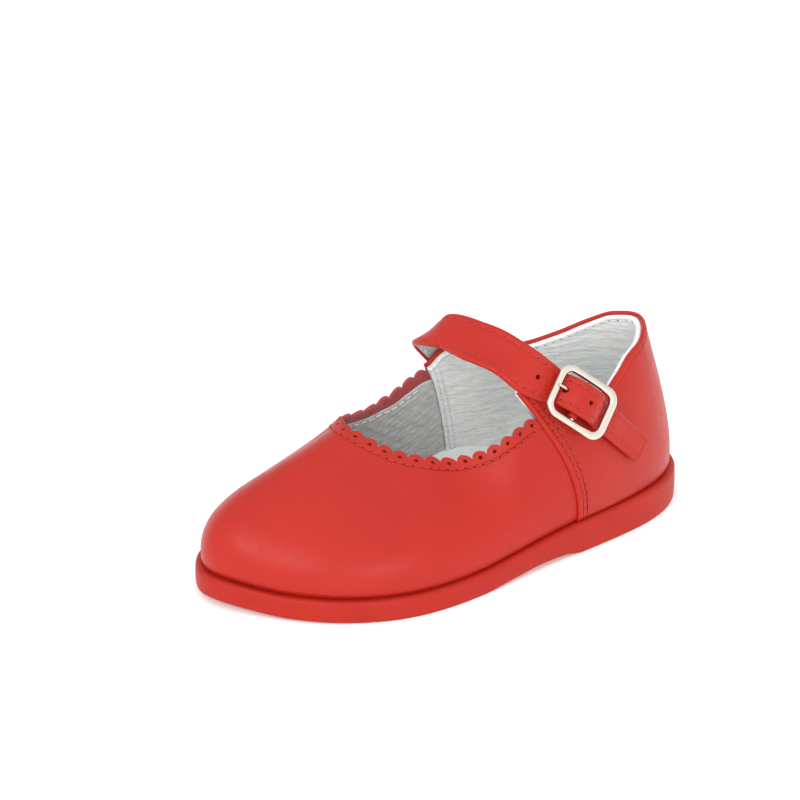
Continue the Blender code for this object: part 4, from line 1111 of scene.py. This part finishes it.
def make_stitches():
    """All the upper's stitching."""
    red = []
    path, normal = along_edge(INNER_SEAM + 0.004, OUTER_SEAM - 0.004, throat_share, THROAT_STITCH, -0.00006)
    red.append(stitch_row(path, normal, hole=0.00053))
    level = QUARTER_LAP - 0.00006
    path, normal = along_edge(OUTER_SEAM + 0.042, 1 + INNER_SEAM - 0.042, collar_share, COLLAR_STITCH, level)
    red.append(stitch_row(path, normal))
    for seam, inward in ((OUTER_SEAM, 1), (INNER_SEAM, -1)):
        for away, top in zip(SEAM_STITCHES, (0.0475, 0.0440)):
            path, normal = beside_seam(seam, inward, away, 0.0100, top, level)
            red.append(stitch_row(path, normal, 0.00235))
    stitches("red_stitching", red, RED_THREAD, NEEDLE_HOLE_SHADE)
    pale = []
    below = LINING_BELOW_TIPS + LINING_STITCH
    path, normal = along_edge(INNER_SEAM + 0.006, OUTER_SEAM - 0.006, throat_share, below, -0.00174)
    pale.append(stitch_row(path, -normal))
    below = LINING_INSET + LINING_STITCH
    path, normal = along_edge(OUTER_SEAM + 0.040, 1 + INNER_SEAM - 0.030, collar_share, below, -0.00200)
    pale.append(stitch_row(path, -normal))
    for seam, inward in ((OUTER_SEAM, 1), (INNER_SEAM, -1)):
        for away in LINING_STITCHES:
            path, normal = beside_seam(seam, inward, away, 0.0110, 0.0460, -0.00212)
            pale.append(stitch_row(path, -normal))
    stitches("pale_stitching", pale, PALE_THREAD, LINING_NEEDLE_HOLE_SHADE)


# Strap

def strap_line():
    """The strap's middle line: its length and a function of the distance from the root."""
    shares = np.array(STRAP_PATH) * (SOLE_LENGTH / 2, BALL_WIDTH / 2, INSTEP_HEIGHT)
    chord = np.append(0, np.cumsum(np.linalg.norm(np.diff(shares, axis=0), axis=1)))
    step = np.diff(chord)
    system = np.eye(len(shares))
    right = np.zeros_like(shares)
    for i in range(1, len(shares) - 1):
        system[i, i - 1:i + 2] = step[i - 1], 2 * (step[i - 1] + step[i]), step[i]
        right[i] = 6 * ((shares[i + 1] - shares[i]) / step[i] - (shares[i] - shares[i - 1]) / step[i - 1])
    bend = np.linalg.solve(system, right)
    place = np.linspace(0, chord[-1], 1200)
    i = np.clip(np.searchsorted(chord, place, "right") - 1, 0, len(step) - 1)
    width = step[i][:, None]
    a = (chord[i + 1] - place)[:, None] / width
    b = 1 - a
    cubic = (a ** 3 - a) * bend[i] + (b ** 3 - b) * bend[i + 1]
    dense = a * shares[i] + b * shares[i + 1] + cubic * width ** 2 / 6
    way = np.append(0, np.cumsum(np.linalg.norm(np.diff(dense, axis=0), axis=1)))
    return way[-1], lambda at: np.stack([np.interp(at, way, dense[:, k]) for k in range(3)], -1)


strap_length, strap_middle = strap_line()
BAR_PLACE = strap_length - BUCKLE_FROM_TIP


def quarter_samples():
    """Points and outward directions on the quarters' outer faces, near the tabs."""
    places = np.concatenate([np.linspace(OUTER_SEAM - 0.03, 0.95, 100),
                             np.linspace(0.08, INNER_SEAM + 0.03, 100)])
    along, share = np.meshgrid(places, np.linspace(0.05, 1.1, 90), indexing="ij")
    normal = upper_normal(along, np.minimum(share, 1.0)).reshape(-1, 3)
    return upper_skin(along, share).reshape(-1, 3) + QUARTER_LAP * normal, normal


skin_points, skin_normals = quarter_samples()


def onto_quarter(points):
    """The quarter's outer face under each point, and its outward direction."""
    flat = points.reshape(-1, 3)
    closest = np.array([np.argmin(((skin_points - point) ** 2).sum(1)) for point in flat])
    normal = skin_normals[closest]
    base = flat - ((flat - skin_points[closest]) * normal).sum(1)[:, None] * normal
    return base.reshape(points.shape), normal.reshape(points.shape)


def strap_axes(at):
    """Directions at a place on the strap's middle line: onward, to its back edge and outward."""
    onward = unit(strap_middle(at + 5e-4) - strap_middle(at - 5e-4))
    lean = np.array([-math.cos(STRAP_LEAN), 0, math.sin(STRAP_LEAN)])
    back = unit(lean - (onward @ lean)[..., None] * onward)
    return onward, back, np.cross(onward, back)


def frame_height():
    """The frame's plane above the quarter at the centre bar."""
    reach = (BUCKLE_LENGTH - FRAME_WIRE) / 2
    base, normal = onto_quarter(strap_middle(BAR_PLACE + np.array([-reach, 0, reach])))
    layers = STRAP_SEAT + STRAP_THICKNESS + np.array([0, 0, GAP + LOOP_THICKNESS])
    tops = base + layers[:, None] * normal
    return max((tops[[0, 2]] - base[1]) @ normal[1]) + 2 * GAP + FRAME_WIRE / 2


FRAME_HEIGHT = frame_height()


def strap_lift(at):
    """The strap's underside above the quarter: on it, and over the centre bar and the loop."""
    place = (at - BAR_PLACE) / (BUCKLE_LENGTH / 2)
    over_bar = FRAME_HEIGHT - BAR_DROP + BAR_WIRE / 2 + LOOP_THICKNESS + 3 * GAP
    low, high = HUMP
    hump = ease((high - np.abs(place)) / (high - low))
    tail = 2 * LOOP_TAIL / BUCKLE_LENGTH
    on_tail = (np.clip((place - low) / (high - low), 0, 1)
               * np.clip((tail + high - low - place) / (high - low), 0, 1))
    return STRAP_SEAT + (over_bar - STRAP_SEAT) * hump + (LOOP_THICKNESS + GAP) * on_tail * (1 - hump)


def strap_base(at, across):
    """Points under the strap; across runs from -1 at the front edge to 1 at the back edge."""
    onward, back, outward = strap_axes(at)
    half = STRAP_WIDTH / 2 * strap_width((at - BAR_PLACE) / (BUCKLE_LENGTH / 2))
    middle = strap_middle(at)
    free = middle - STRAP_THICKNESS * outward + (across * half)[..., None] * back
    base, normal = onto_quarter(free)
    draped = base + strap_lift(at)[..., None] * normal
    low, high = LIFT_OFF
    off = ease((middle[..., 2] / INSTEP_HEIGHT - low) / (high - low))[..., None]
    points = draped * (1 - off) + free * off
    base, normal = onto_quarter(points)
    short = np.maximum(STRAP_SEAT - ((points - base) * normal).sum(-1), 0)
    below_tabs = np.clip((COLLAR_HEIGHT + STRAP_THICKNESS - points[..., 2]) / (3 * STRAP_THICKNESS), 0, 1)
    return points + (below_tabs * short)[..., None] * normal


def soften(grid, times):
    """A grid of points evened out along its first axis, with its first and last rows held."""
    for _ in range(times):
        grid[1:-1] = (grid[:-2] + 2 * grid[1:-1] + grid[2:]) / 4
    return grid


def strap_surface():
    """The strap's underside as a smooth function of the distance from the root and the place across."""
    at = np.linspace(0, strap_length, 150)
    across = np.linspace(-1, 1, 9)
    rows, columns = np.meshgrid(at, across, indexing="ij")
    grid = soften(strap_base(rows, columns), 5)
    for _ in range(2):
        grid[:, 1:-1] = (grid[:, :-2] + 2 * grid[:, 1:-1] + grid[:, 2:]) / 4
    step = at[1] - at[0]
    tangent = np.gradient(grid, step, axis=0)

    def point(place, side):
        place, side = np.broadcast_arrays(np.asarray(place, float), np.asarray(side, float))
        i = np.clip((place / step).astype(int), 0, len(at) - 2)
        s = (place / step - i)[..., None]
        j_float = (side + 1) / 2 * (len(across) - 1)
        j = np.clip(j_float.astype(int), 0, len(across) - 2)
        t = (j_float - j)[..., None]
        h00, h10 = (1 + 2 * s) * (1 - s) ** 2, s * (1 - s) ** 2
        h01, h11 = s * s * (3 - 2 * s), s * s * (s - 1)

        def line(k):
            return (h00 * grid[i, k] + h10 * step * tangent[i, k]
                    + h01 * grid[i + 1, k] + h11 * step * tangent[i + 1, k])

        return line(j) * (1 - t) + line(j + 1) * t

    return point


strap_under = strap_surface()


def strap_normal(place, side):
    """The strap's outward direction."""
    onward = strap_under(np.asarray(place) + 4e-4, side) - strap_under(np.asarray(place) - 4e-4, side)
    back = (strap_under(place, np.minimum(np.asarray(side) + 0.1, 1))
            - strap_under(place, np.maximum(np.asarray(side) - 0.1, -1)))
    return unit(np.cross(onward, back))


def strap_half(at):
    """Half the strap's width, narrowed at the tip's cut corners."""
    half = STRAP_WIDTH / 2 * strap_width((at - BAR_PLACE) / (BUCKLE_LENGTH / 2))
    corner = 0.0015
    share = np.clip(at - (strap_length - corner), 0, corner) / corner
    return half - corner * 0.8 * (1 - np.sqrt(1 - share ** 2))


def make_strap():
    """The strap: rounded edges, stitch lines, wrinkles by the buckle, three punched holes, a back in the
    lining painted darker as shade, painted shade along the stitch lines and round the holes.
    """
    tip = strap_length
    ends = np.array([0, 0.08, 0.2, 0.35, 0.55, 0.8, 1.1, 1.5, 1.9]) * 1e-3
    at = np.unique(np.concatenate([ends, np.arange(0.0022, tip - 0.0021, 0.00034), tip - ends]))
    inset = np.array([0, 0.06, 0.15, 0.28, 0.45, 0.65, 0.9, 1.2, 1.5, 1.8, 2.1, 2.5, 3.0]) * 1e-3
    half = strap_half(at)[:, None]
    left = -half + inset
    right = half - inset[::-1]
    middle = np.linspace(0, 1, 9)[1:-1]
    inner = left[:, -1:] * (1 - middle) + right[:, :1] * middle
    y = np.concatenate([left, inner, right], 1)
    rows = np.broadcast_to(at[:, None], y.shape)
    from_side = half - np.abs(y)
    from_end = np.minimum(rows, tip - rows)
    distance = np.minimum(from_side, from_end)
    full = STRAP_WIDTH / 2 * strap_width((at - BAR_PLACE) / (BUCKLE_LENGTH / 2))[:, None]
    under = strap_under(rows, y / full)
    normal = strap_normal(rows, y / full * 0.95)
    line = np.maximum(bell(from_side, STRAP_STITCH, 0.00030),
                      bell(from_end, STRAP_STITCH, 0.00030) * (from_side > STRAP_STITCH))
    pillow = 0.00016 * ease(distance / 0.0040)
    worn = ease((rows - BAR_PLACE + 0.020) / 0.006) * ease((BAR_PLACE + 0.006 - rows) / 0.006)
    wrinkle = (0.00013 * worn * np.abs(waves(np.stack([rows * 1.0, y * 0.35, y * 0], -1), 1900.0, 5, 2))
               * ease(from_side / 0.002))
    softer = np.minimum(from_side, rows)
    crown = STRAP_THICKNESS * (0.52 + 0.48 * rise_at(softer, 0.00085)) + pillow - 0.00013 * line - wrinkle
    crown -= STRAP_THICKNESS * 0.14 * (1 - rise_at(tip - rows, 0.0003))
    lower = STRAP_THICKNESS * 0.42 * (1 - rise_at(softer, 0.0006))
    tip_lift = 0.00045 * np.clip((rows - tip + 0.007) / 0.007, 0, 1) ** 2
    crown += tip_lift
    lower += tip_lift
    outer = under + crown[..., None] * normal
    inner = under + lower[..., None] * normal
    front, back, rim = sheet_faces(*y.shape)
    count, wide = y.shape
    lined = ((distance[:-1, :-1] > 0.0007) & (rows[:-1, :-1] > 0.0008)).ravel()
    edge_kind = np.zeros(len(rim))
    edge_kind[wide + count - 1:2 * wide + count - 3] = 2
    which = np.concatenate([np.zeros(len(front)), lined, edge_kind])
    made = solid("strap_band", np.concatenate([outer.reshape(-1, 3), inner.reshape(-1, 3)]),
                 np.concatenate([front, back, rim]), [STRAP_LEATHER, SHADED_LINING, CUT_EDGE], ["strap"],
                 which)
    hole = np.min([np.hypot(rows - BAR_PLACE - place, y) for place in HOLE_PLACES], axis=0)
    # Painted shade along the stitch lines and round the punched holes.
    painted_shade = np.maximum(0.10 * line, 0.8 * (1 - ease((hole - 0.00060) / 0.00025)))
    mark(made, "pit_and_painted_shade", np.concatenate([painted_shade.ravel(), painted_shade.ravel() * (hole.ravel() < 0.001)]))
    for place, size in zip(HOLE_PLACES, (0.00125, 0.0017, 0.00125)):
        punch(made, BAR_PLACE + place, size)
    return made


def punch(made, at, size):
    """A round hole through the strap."""
    middle = strap_under(at, 0.0) + strap_normal(at, 0.0) * STRAP_THICKNESS / 2
    turn = Vector(strap_normal(at, 0.0)).to_track_quat("Z", "Y").to_euler()
    bpy.ops.mesh.primitive_cylinder_add(vertices=20, radius=size / 2, depth=STRAP_THICKNESS * 3,
                                        location=middle, rotation=turn)
    cutter = bpy.context.object
    cut = made.modifiers.new("hole", "BOOLEAN")
    cut.operation = "DIFFERENCE"
    cut.object = cutter
    with bpy.context.temp_override(object=made):
        bpy.ops.object.modifier_apply(modifier=cut.name)
    bpy.data.objects.remove(cutter)


def make_strap_stitches():
    """Stitches along both edges of the strap and across its tip, and where it is sewn to the quarter."""
    rows = []
    start, end = 0.0022, strap_length - STRAP_STITCH
    at = np.linspace(start, end, 700)
    half = strap_half(at)
    full = STRAP_WIDTH / 2 * strap_width((at - BAR_PLACE) / (BUCKLE_LENGTH / 2))
    for sign in (-1, 1):
        side = sign * (half - STRAP_STITCH) / full
        normal = strap_normal(at, side)
        path = strap_under(at, side) + (STRAP_THICKNESS - 0.00006) * normal
        rows.append(stitch_row(path, normal, STRAP_STITCH_PITCH, start=0.1))
    for place in (end, 0.0022, 0.0120):
        across = np.linspace(-1, 1, 60) * (strap_half(np.array([place]))[0] - STRAP_STITCH)
        width = STRAP_WIDTH / 2 * strap_width((np.array([place]) - BAR_PLACE) / (BUCKLE_LENGTH / 2))
        line = np.full(60, place)
        normal = strap_normal(line, across / width)
        path = strap_under(line, across / width) + (STRAP_THICKNESS - 0.00006) * normal
        rows.append(stitch_row(path, normal, start=0.05))
    stitches("strap_stitching", rows, RED_THREAD, NEEDLE_HOLE_SHADE)
    pale = []
    at = np.linspace(0.014, BAR_PLACE - 0.012, 500)
    half = strap_half(at)
    full = STRAP_WIDTH / 2 * strap_width((at - BAR_PLACE) / (BUCKLE_LENGTH / 2))
    for sign in (-1, 1):
        side = sign * (half - STRAP_STITCH) / full
        normal = strap_normal(at, side)
        pale.append(stitch_row(strap_under(at, side) + 0.00002 * normal, -normal,
                               STRAP_STITCH_PITCH, start=0.1))
    stitches("strap_back_stitching", pale, PALE_THREAD, LINING_NEEDLE_HOLE_SHADE)


# Buckle

def buckle_axes():
    """The buckle's own frame: origin at the frame's middle, X to the tip, Y to the back edge, Z outward."""
    reach = BUCKLE_LENGTH / 2
    start, end = strap_base(BAR_PLACE + np.array([-reach, reach]), np.zeros(2))
    base, normal = onto_quarter((start + end) / 2)
    onward = end - start
    onward = unit(onward - (onward @ normal) * normal)
    back = np.cross(normal, onward)
    place = Matrix.Identity(4)
    for k, axis in enumerate((onward, back, normal)):
        place.col[k][:3] = axis
    place.col[3][:3] = base + FRAME_HEIGHT * normal - BUCKLE_SET * back
    return place


BUCKLE = np.array(buckle_axes())


def from_buckle(points):
    """Points of the buckle's frame brought into the shoe's."""
    return np.asarray(points) @ BUCKLE[:3, :3].T + BUCKLE[:3, 3]


def into_buckle(points):
    """Points of the shoe brought into the buckle's frame."""
    return (np.asarray(points) - BUCKLE[:3, 3]) @ BUCKLE[:3, :3]


def swept(path, widths, heights, closed, up=(0, 0, 1), power=2.6, around=20):
    """A bar along a path in the buckle's frame, its section a soft rectangle of changing size."""
    path = np.asarray(path, float)
    if closed:
        ahead = unit(np.roll(path, -1, 0) - np.roll(path, 1, 0))
    else:
        ahead = unit(np.gradient(path, axis=0))
    side = unit(np.cross(np.broadcast_to(np.array(up, float), ahead.shape), ahead))
    top = np.cross(ahead, side)
    angle = np.linspace(0, 2 * math.pi, around, endpoint=False)
    c = np.sign(np.cos(angle)) * np.abs(np.cos(angle)) ** (2 / power)
    s = np.sign(np.sin(angle)) * np.abs(np.sin(angle)) ** (2 / power)
    rings = path[:, None] + (c[None, :] * np.reshape(widths, (-1, 1)) / 2)[..., None] * side[:, None]
    rings = rings + (s[None, :] * np.reshape(heights, (-1, 1)) / 2)[..., None] * top[:, None]
    count = len(path)
    faces = []
    for i in range(count if closed else count - 1):
        for k in range(around):
            a, b = i * around + k, i * around + (k + 1) % around
            c1, d1 = (i + 1) % count * around + (k + 1) % around, (i + 1) % count * around + k
            faces.append((a, b, c1, d1))
    if not closed:
        faces += [tuple(range(around)[::-1]), tuple((count - 1) * around + k for k in range(around))]
    return rings.reshape(-1, 3), faces


def make_buckle_frame():
    """The frame: a flattened, softly crowned bar round a rounded rectangle, wider at the tip's end."""
    half_x, half_y = (BUCKLE_LENGTH - FRAME_WIRE) / 2, (BUCKLE_WIDTH - FRAME_WIRE) / 2
    path = []
    for corner in range(4):
        sign_x, sign_y = (1, -1, -1, 1)[corner], (1, 1, -1, -1)[corner]
        for step in range(13):
            angle = math.radians(90 * corner + 90 * step / 12)
            path.append((sign_x * (half_x - BUCKLE_CORNER) + BUCKLE_CORNER * math.cos(angle),
                         sign_y * (half_y - BUCKLE_CORNER) + BUCKLE_CORNER * math.sin(angle), 0.0))
        for share in (0.25, 0.5, 0.75):
            start = np.array(path[-1])
            following = (corner + 1) % 4
            next_x, next_y = (1, -1, -1, 1)[following], (1, 1, -1, -1)[following]
            turn = math.radians(90 * following)
            end = np.array((next_x * (half_x - BUCKLE_CORNER) + BUCKLE_CORNER * math.cos(turn),
                            next_y * (half_y - BUCKLE_CORNER) + BUCKLE_CORNER * math.sin(turn), 0.0))
            if share == 0.25:
                straight_start = start
            path.append(tuple(straight_start * (1 - share) + end * share))
    path = np.array(path)
    wide = FRAME_WIRE * (1.0 + 0.22 * ease((path[:, 0] / half_x - 0.2) / 0.8))
    points, faces = swept(path, wide, np.full(len(path), FRAME_WIRE * 0.86), True)
    frame_bar = solid("buckle_ring", from_buckle(points), faces, [NICKEL], ["buckle_frame"])
    bar = np.array([(0, y, -BAR_DROP) for y in np.linspace(-half_y, half_y, 9)])
    points, faces = swept(bar, np.full(9, BAR_WIRE), np.full(9, BAR_WIRE), False, power=2.0, around=14)
    solid("buckle_bar", from_buckle(points), faces, [NICKEL], ["buckle_frame"])
    return frame_bar


def smooth_line(points, steps):
    """A smooth line through points, with a number of steps between each two."""
    points = np.asarray(points, float)
    ends = np.concatenate([[2 * points[0] - points[1]], points, [2 * points[-1] - points[-2]]])
    line = []
    for i in range(1, len(ends) - 2):
        before, start, end, after = ends[i - 1:i + 3]
        for t in np.arange(steps) / steps:
            bend = ((2 * before - 5 * start + 4 * end - after) * t
                    + (3 * start - before - 3 * end + after) * t * t)
            line.append(start + t * ((end - before) + bend) / 2)
    return np.array(line + [points[-1]])


def make_prong():
    """The prong: round the centre bar, up through the strap's hole, flattened where it lies on the frame."""
    eye = (BAR_WIRE + PRONG_WIRE) / 2 + 0.0001
    end_bar = -(BUCKLE_LENGTH - FRAME_WIRE) / 2
    rest = FRAME_WIRE * 0.43 + PRONG_WIRE * 0.42
    at = BAR_PLACE + HOLE_PLACES[1]
    normal = strap_normal(at, 0.0)
    middle = into_buckle(strap_under(at, 0.0) + normal * STRAP_THICKNESS / 2)
    through = (normal @ BUCKLE[:3, :3]) * (STRAP_THICKNESS / 2 + 0.0003)
    angles = np.radians(np.linspace(45, -110, 9))
    hook = [(eye * math.cos(a), middle[1], eye * math.sin(a) - BAR_DROP) for a in angles]
    line = hook + [
        middle - through,
        middle + through * 0.9 + np.array([0, 0, 0.0002]),
        (end_bar + 0.0016, middle[1], rest + 0.0001),
        (end_bar + 0.0003, middle[1], rest),
        (end_bar - 0.0004, middle[1], rest - 0.0001),
    ]
    line = smooth_line(line, 5)
    share = ease((line[:, 0] - end_bar - 0.0030) / 0.0016)
    widths = PRONG_WIRE * (1.25 * (1 - share) + 1.0 * share)
    heights = PRONG_WIRE * (0.72 * (1 - share) + 1.0 * share)
    widths[-1] *= 0.9
    heights[-1] *= 0.7
    points, faces = swept(line, widths, heights, False, up=(0, 1, 0), power=2.4, around=14)
    return solid("buckle_pin", from_buckle(points), faces, [NICKEL], ["buckle_prong"])


def make_loop():
    """The leather loop round the centre bar, with its tail sewn on the quarter."""
    around = BAR_WIRE / 2 + LOOP_THICKNESS / 2 + 0.0002
    low = 0.0001 + LOOP_THICKNESS / 2
    height = FRAME_HEIGHT - BAR_DROP
    line = [(LOOP_TAIL * (1 - k / 8) + around * 2.2 * k / 8, low) for k in range(9)]
    line.append((around * 1.3, low + (height - around - low) * 0.3))
    for step in range(13):
        angle = math.radians(-80 - 240 * step / 12)
        line.append((around * math.cos(angle), height + around * math.sin(angle)))
    line = smooth_line(line, 3)
    side = np.gradient(line, axis=0)
    side = np.column_stack([-side[:, 1], side[:, 0]]) / np.linalg.norm(side, axis=1)[:, None]
    across = np.concatenate([[-1, -0.985, -0.95], np.linspace(-0.9, 0.9, 11), [0.95, 0.985, 1]])
    edge = rise_at((1 - np.abs(across)) * LOOP_WIDTH / 2, 0.0003)
    half = LOOP_THICKNESS / 2 * (0.4 + 0.6 * edge)
    grids = []
    for sign in (1, -1):
        flat = line[:, None] + sign * half[None, :, None] * side[:, None]
        middle = strap_middle(BAR_PLACE) + flat[..., 0][..., None] * strap_axes(BAR_PLACE)[0]
        base, normal = onto_quarter(middle + (across * LOOP_WIDTH / 2)[None, :, None]
                                    * strap_axes(BAR_PLACE)[1])
        base = soften(soften(base, 6).swapaxes(0, 1), 3).swapaxes(0, 1)
        grids.append(base + flat[..., 1][..., None] * normal)
    faces = np.concatenate(sheet_faces(*grids[0].shape[:2]))
    made = solid("buckle_keeper", np.concatenate([grid.reshape(-1, 3) for grid in grids]), faces,
                 [STRAP_LEATHER], ["buckle_loop"])
    return made


# Floor, light and camera

def make_stage():
    """A plain pale floor that glows faintly, painted light that lightens its shadows; a wide soft light from
    above and two broad low ones for the leather's gloss.
    """
    bpy.ops.mesh.primitive_plane_add(size=8, location=(0, 0, 0))
    floor = bpy.context.object
    floor.name = "floor"
    finish, tree, shader = new_finish("pale_glowing_floor", (0.94, 0.94, 0.94), 0.8)
    grit = noise_of(tree, 300.0, 3.0)
    tree.links.new(ramp(tree, grit, 0.3, 0.7, 0.75, 0.85), shader.inputs["Roughness"])
    shader.inputs["Specular IOR Level"].default_value = 0.2
    # Painted light: the floor glows faintly so that the shadows on it stay light.
    shader.inputs["Emission Color"].default_value = (1, 1, 1, 1)
    shader.inputs["Emission Strength"].default_value = 0.20
    floor.data.materials.append(finish)
    world = bpy.data.worlds.new("studio")
    bpy.context.scene.world = world
    world.use_nodes = True
    tree = world.node_tree
    sky = tree.nodes["Background"]
    sky.inputs["Color"].default_value = (1, 1, 1, 1)
    toward = node(tree, "ShaderNodeVectorMath", {"operation": "DOT_PRODUCT"}, i1=(0.53, 0.85, 0.0),
                  i0=node(tree, "ShaderNodeTexCoord").outputs["Generated"])
    tree.links.new(ramp(tree, toward.outputs["Value"], -1.0, 1.0, 0.80, 1.40), sky.inputs["Strength"])
    for name, place, size, power in (
        ("top", (0.10, 0.10, 1.30), (1.2, 1.2), 1.2),
        ("front_left", (1.15, 0.55, 0.90), (0.40, 0.5), 4.6),
        ("front_right", (0.20, 1.25, 0.50), (0.5, 0.35), 2.6),
    ):
        light = bpy.data.lights.new(name, "AREA")
        light.shape = "RECTANGLE"
        light.size, light.size_y = size
        light.energy = power
        lamp = bpy.data.objects.new(name, light)
        bpy.context.scene.collection.objects.link(lamp)
        lamp.location = place
        lamp.rotation_euler = (Vector((0, 0, 0.02)) - Vector(place)).to_track_quat("-Z", "Y").to_euler()


def make_camera():
    """The photograph's camera: a long lens, turned so that the shoe shows where it does there."""
    right = Vector((-math.cos(CAMERA_TURN), math.sin(CAMERA_TURN), 0))
    ground = Vector((math.sin(CAMERA_TURN), math.cos(CAMERA_TURN), 0))
    back = ground * math.cos(CAMERA_RISE) + Vector((0, 0, math.sin(CAMERA_RISE)))
    up = back.cross(right)
    focal = PIXELS_PER_METRE * CAMERA_DISTANCE
    aim = (-back + right * (PICTURE / 2 - ORIGIN_PIXEL[0]) / focal
           - up * (PICTURE / 2 - ORIGIN_PIXEL[1]) / focal)
    camera = bpy.data.cameras.new("camera")
    camera.lens = SENSOR * focal / PICTURE
    camera.sensor_width = SENSOR
    camera.clip_start, camera.clip_end = 0.01, 20
    made = bpy.data.objects.new("camera", camera)
    bpy.context.scene.collection.objects.link(made)
    made.location = back * CAMERA_DISTANCE - Vector((0, 0.0011, 0))
    made.rotation_euler = aim.to_track_quat("-Z", "Y").to_euler()
    bpy.context.scene.camera = made
    bpy.context.scene.view_settings.view_transform = "Standard"


make_camera()
make_stage()
make_outsole()
make_insole()
make_vamp()
make_quarters()
make_vamp_lining()
make_quarter_lining()
make_stitches()
make_strap()
make_strap_stitches()
make_buckle_frame()
make_prong()
make_loop()
